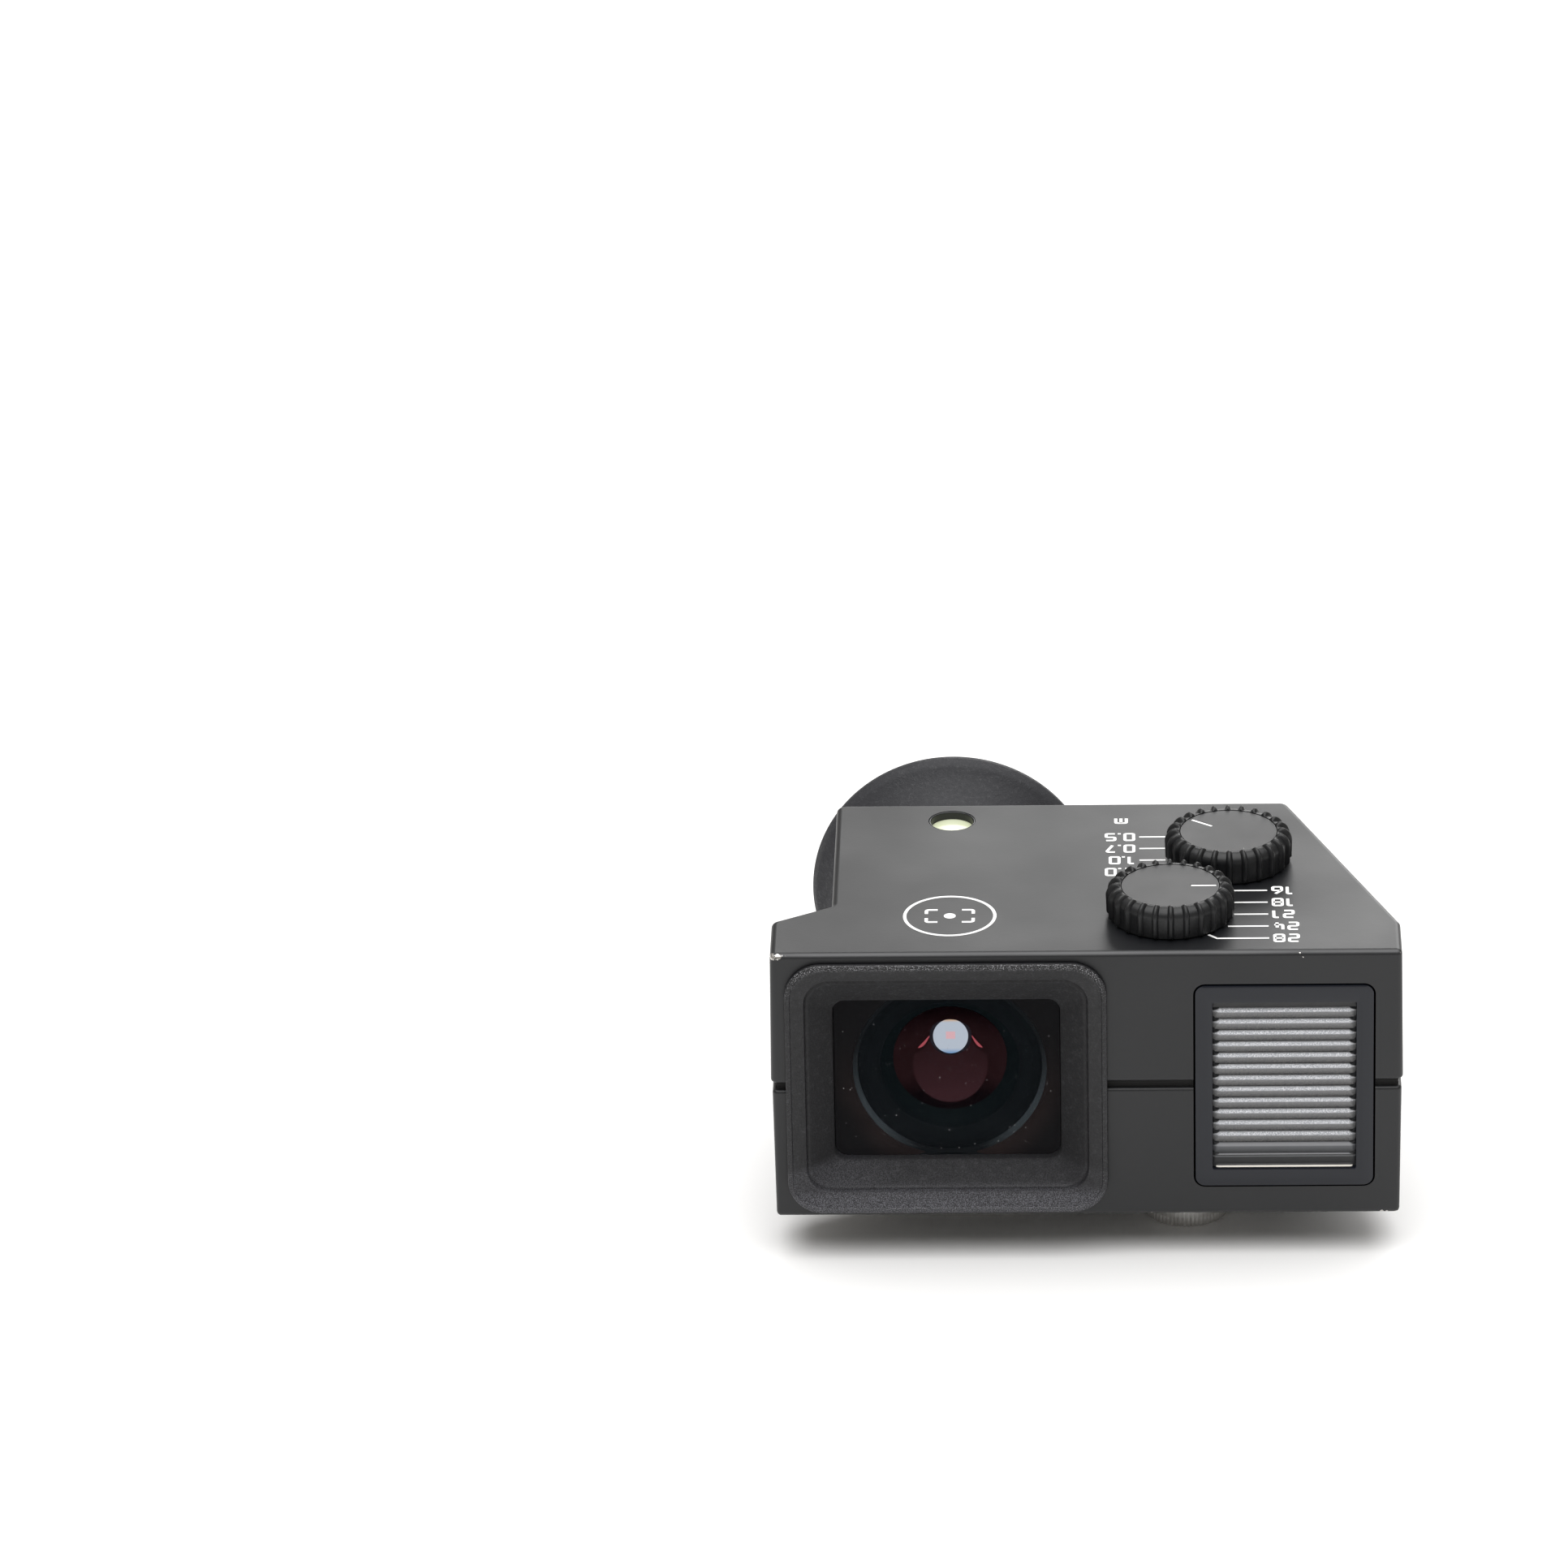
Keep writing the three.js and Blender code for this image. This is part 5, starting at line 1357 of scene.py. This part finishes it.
def makeCapFinish(label, middle):
    # the same satin enamel as the body over finely turned metal
    material, nodes, place = startMaterial(f"{label} cap enamel", {"Specular IOR Level": 0.35})
    cloud = nodes.noise(place, 160.0, 3.0)
    dust = nodes.use(dustGroup, Vector=place, Scale=700.0, Share=0.06, Dot=0.09)
    paint = nodes.mix(cloud, (0.017, 0.0175, 0.0185), (0.025, 0.0255, 0.027))
    nodes.feed("Base Color", nodes.mix((dust, 0), paint, (0.5, 0.5, 0.49)))
    nodes.feed("Roughness", nodes.ramp(cloud, 0.3, 0.7, 0.38, 0.46))
    nodes.bump(nodes.rings(place, middle, 0.12), 0.1, 0.02)
    return material


makeKnob("focal", focalMiddle, 0.0, knobSettings)
makeKnob("distance", distanceMiddle, math.radians(180 - 37), knobSettings)
print("stage: knobs")


cupRim = 32.5
eyepieceSettings = {  # profiles of (radius, depth)
    "cupOutside": [(11.2, rear + 1.2), (11.3, rear + 3.2), (11.8, rear + 5.6), (12.9, rear + 8.0),
                   (14.5, rear + 10.0), (15.9, rear + 11.2)],
    "cupLip": [(15.9, rear + 11.2), (16.32, cupRim - 0.9), (16.3, cupRim), (15.1, cupRim),
               (13.4, cupRim - 1.8)],
    "cupInside": [(13.4, cupRim - 1.8), (11.6, cupRim - 4.2), (10.4, cupRim - 7.0), (9.7, cupRim - 9.2),
                  (9.1, cupRim - 10.2)],
    "cupRoot": [(8.9, rear + 2.9), (8.9, rear + 1.2)],
    "barrel": [(7.4, 9.0), (8.5, 9.0), (8.5, rear + 0.15), (10.6, rear + 0.15), (10.6, rear + 1.1),
               (7.4, rear + 1.1)],
    "keeper": [(6.6, rear + 1.15), (8.7, rear + 1.15), (8.7, rear + 2.7), (7.9, rear + 2.7),
               (6.6, rear + 1.5)],
    "slotReach": 8.2,
    "glass": ((13.6, 1), (17.6, -1)),    # apex of each face, and the way it falls back
    "glassCurve": 24,
    "glassRadius": 7.1,
}


def dome(apex, curve, aperture, direction, steps=16):
    # a round glass face from the axis outwards, falling back along Y by its sag
    radius = np.linspace(0, aperture, steps + 1)
    return np.column_stack([radius, apex + direction * (curve - np.sqrt(curve ** 2 - radius ** 2))])


def makeEyepiece(setup):
    axis = (0.0, axisHeight)
    lip = roundPath(setup["cupLip"], [0, 0.25, 0.45, 0.5, 0], 5)[1:]
    section = np.vstack([smoothPath(setup["cupOutside"], 6), lip, smoothPath(setup["cupInside"], 6)[1:],
                         setup["cupRoot"]])
    cup = turnedPiece("rubber_eyecup", section, axis, "y", 160, closed=True)
    finishPiece(cup, "cup_rubber", ["eyecup"], sharp=55)
    flange = roundPath(setup["barrel"], [0, 0, 0, 0.15, 0.15, 0], 4)
    tube = turnedPiece("eyepiece_barrel", flange, axis, "y", 96, closed=True)
    finishPiece(tube, "anodised_black", ["eyepiece_tube"])
    ring = roundPath(setup["keeper"], [0, 0, 0.2, 0.2, 0.1], 4)
    keeper = turnedPiece("eyepiece_keeper", ring, axis, "y", 96, closed=True)
    reach = setup["slotReach"]
    carve(keeper, [makeObject("slot", boxData((side * reach - 0.6, rear + 2.3, axisHeight - 0.5),
                                              (side * reach + 0.6, rear + 3.2, axisHeight + 0.5)))
                   for side in (-1, 1)])
    finishPiece(keeper, "anodised_black", ["eyepiece_ring"])
    near, far = (dome(apex, setup["glassCurve"], setup["glassRadius"], way) for apex, way in setup["glass"])
    lens = turnedPiece("eyepiece_glass", np.vstack([near, far[::-1]]), axis, "y", 96)
    finishPiece(lens, "coated_glass", ["eyepiece_lens"])


makeEyepiece(eyepieceSettings)
print("stage: eyepiece")


footSettings = {"plate": (18.6, 18.0, 2.0), "chamfer": 1.2, "screwHole": 1.55, "pinHole": 1.2}
wheelSettings = {"radius": 4.78, "teeth": 60, "toothHigh": 0.16, "band": 1.1}


def crossScrew(name, node, low, high, radius, material=None):
    # a screw head seen from below: domed edge and a cross recess
    x, y = middleOf(node)[:2]
    profile = roundPath([(0, high), (radius, high), (radius, low), (0, low)], [0, 0, 0.18, 0], 4)
    head = turnedPiece(name, profile, (x, y), "z", 48)
    reach, half = radius * 0.62, radius * 0.11
    bars = [makeObject("bar", boxData((x - a, y - b, low - 0.2), (x + a, y + b, low + 0.45)))
            for a, b in ((reach, half), (half, reach))]
    carve(head, bars)
    finishPiece(head, "turned_steel", [node], material)


def makeFoot(setup):
    width, length, thick = setup["plate"]
    half, chamfer = width / 2, setup["chamfer"]
    outline = [(-half, -length / 2 + chamfer), (-half + chamfer, -length / 2), (half - chamfer, -length / 2),
               (half, -length / 2 + chamfer), (half, length / 2), (-half, length / 2)]
    ring = roundPath(outline, [0.3, 0.3, 0.3, 0.3, 0.5, 0.5], 4, closed=True, rest=0.05)
    sizes = roundPath([(0.4, 0.0), (0, 0.0), (0, thick), (0.4, thick)], [0, 0.18, 0.12, 0], 3)
    plate = makeObject("shoe_plate", skin(np.stack(
        [atLevel(ring * (1 - inset / half), level) for inset, level in sizes])))
    sinks = screwHoles("foot_screw", setup["screwHole"], -1, 1.0)
    carve(plate, sinks + [holeThrough("pin hole", *middleOf("lock_pin")[:2], setup["pinHole"], -1, 3)])
    finishPiece(plate, "turned_steel", ["foot_plate"])
    for index in (1, 2, 3, 4):
        crossScrew(f"foot_cross_screw_{index}", f"foot_screw_{index}", 0.15, 0.95, 1.35)
        crossScrew(f"case_cross_screw_{index}", f"case_screw_{index}", bottom + 0.15, bottom + 1.15, 1.75,
                   finishes["anodised_black"])


def makeWheel(setup):
    # turned wheel whose lower edge is milled: each tooth is cut inwards from a crest by 1 - |sin|^0.7
    high, radius, band = bottom - 0.4, setup["radius"], setup["band"]
    profile = roundPath([(0, 0), (radius, 0), (radius, high), (0, high)], [0, 0.3, 0.25, 0], 5)
    side = [(radius, band - 0.1), (radius, band), (radius, band + 0.12)]
    profile = np.vstack([profile[profile[:, 1] < 0.29], side, profile[profile[:, 1] > 1.5]])
    steps = setup["teeth"] * 6
    grid = turnedGrid(profile, wheelMiddle[:2], "z", steps)
    angle = np.linspace(0, 2 * math.pi, steps, endpoint=False)
    milled = (profile[:, 1] < band + 0.01) & (profile[:, 0] > radius - 0.32)
    cut = setup["toothHigh"] * (1 - np.abs(np.sin(angle * setup["teeth"] / 2)) ** 0.7)
    inward = np.where(milled[:, None], cut[None], 0)
    grid[..., 0] -= inward * np.cos(angle)
    grid[..., 1] -= inward * np.sin(angle)
    wheel = makeObject("milled_wheel", skin(grid, caps=False))
    finishPiece(wheel, "turned_steel", ["lock_wheel"], sharp=40, body="lock_dial")


makeFoot(footSettings)
makeWheel(wheelSettings)
print("stage: foot and wheel")
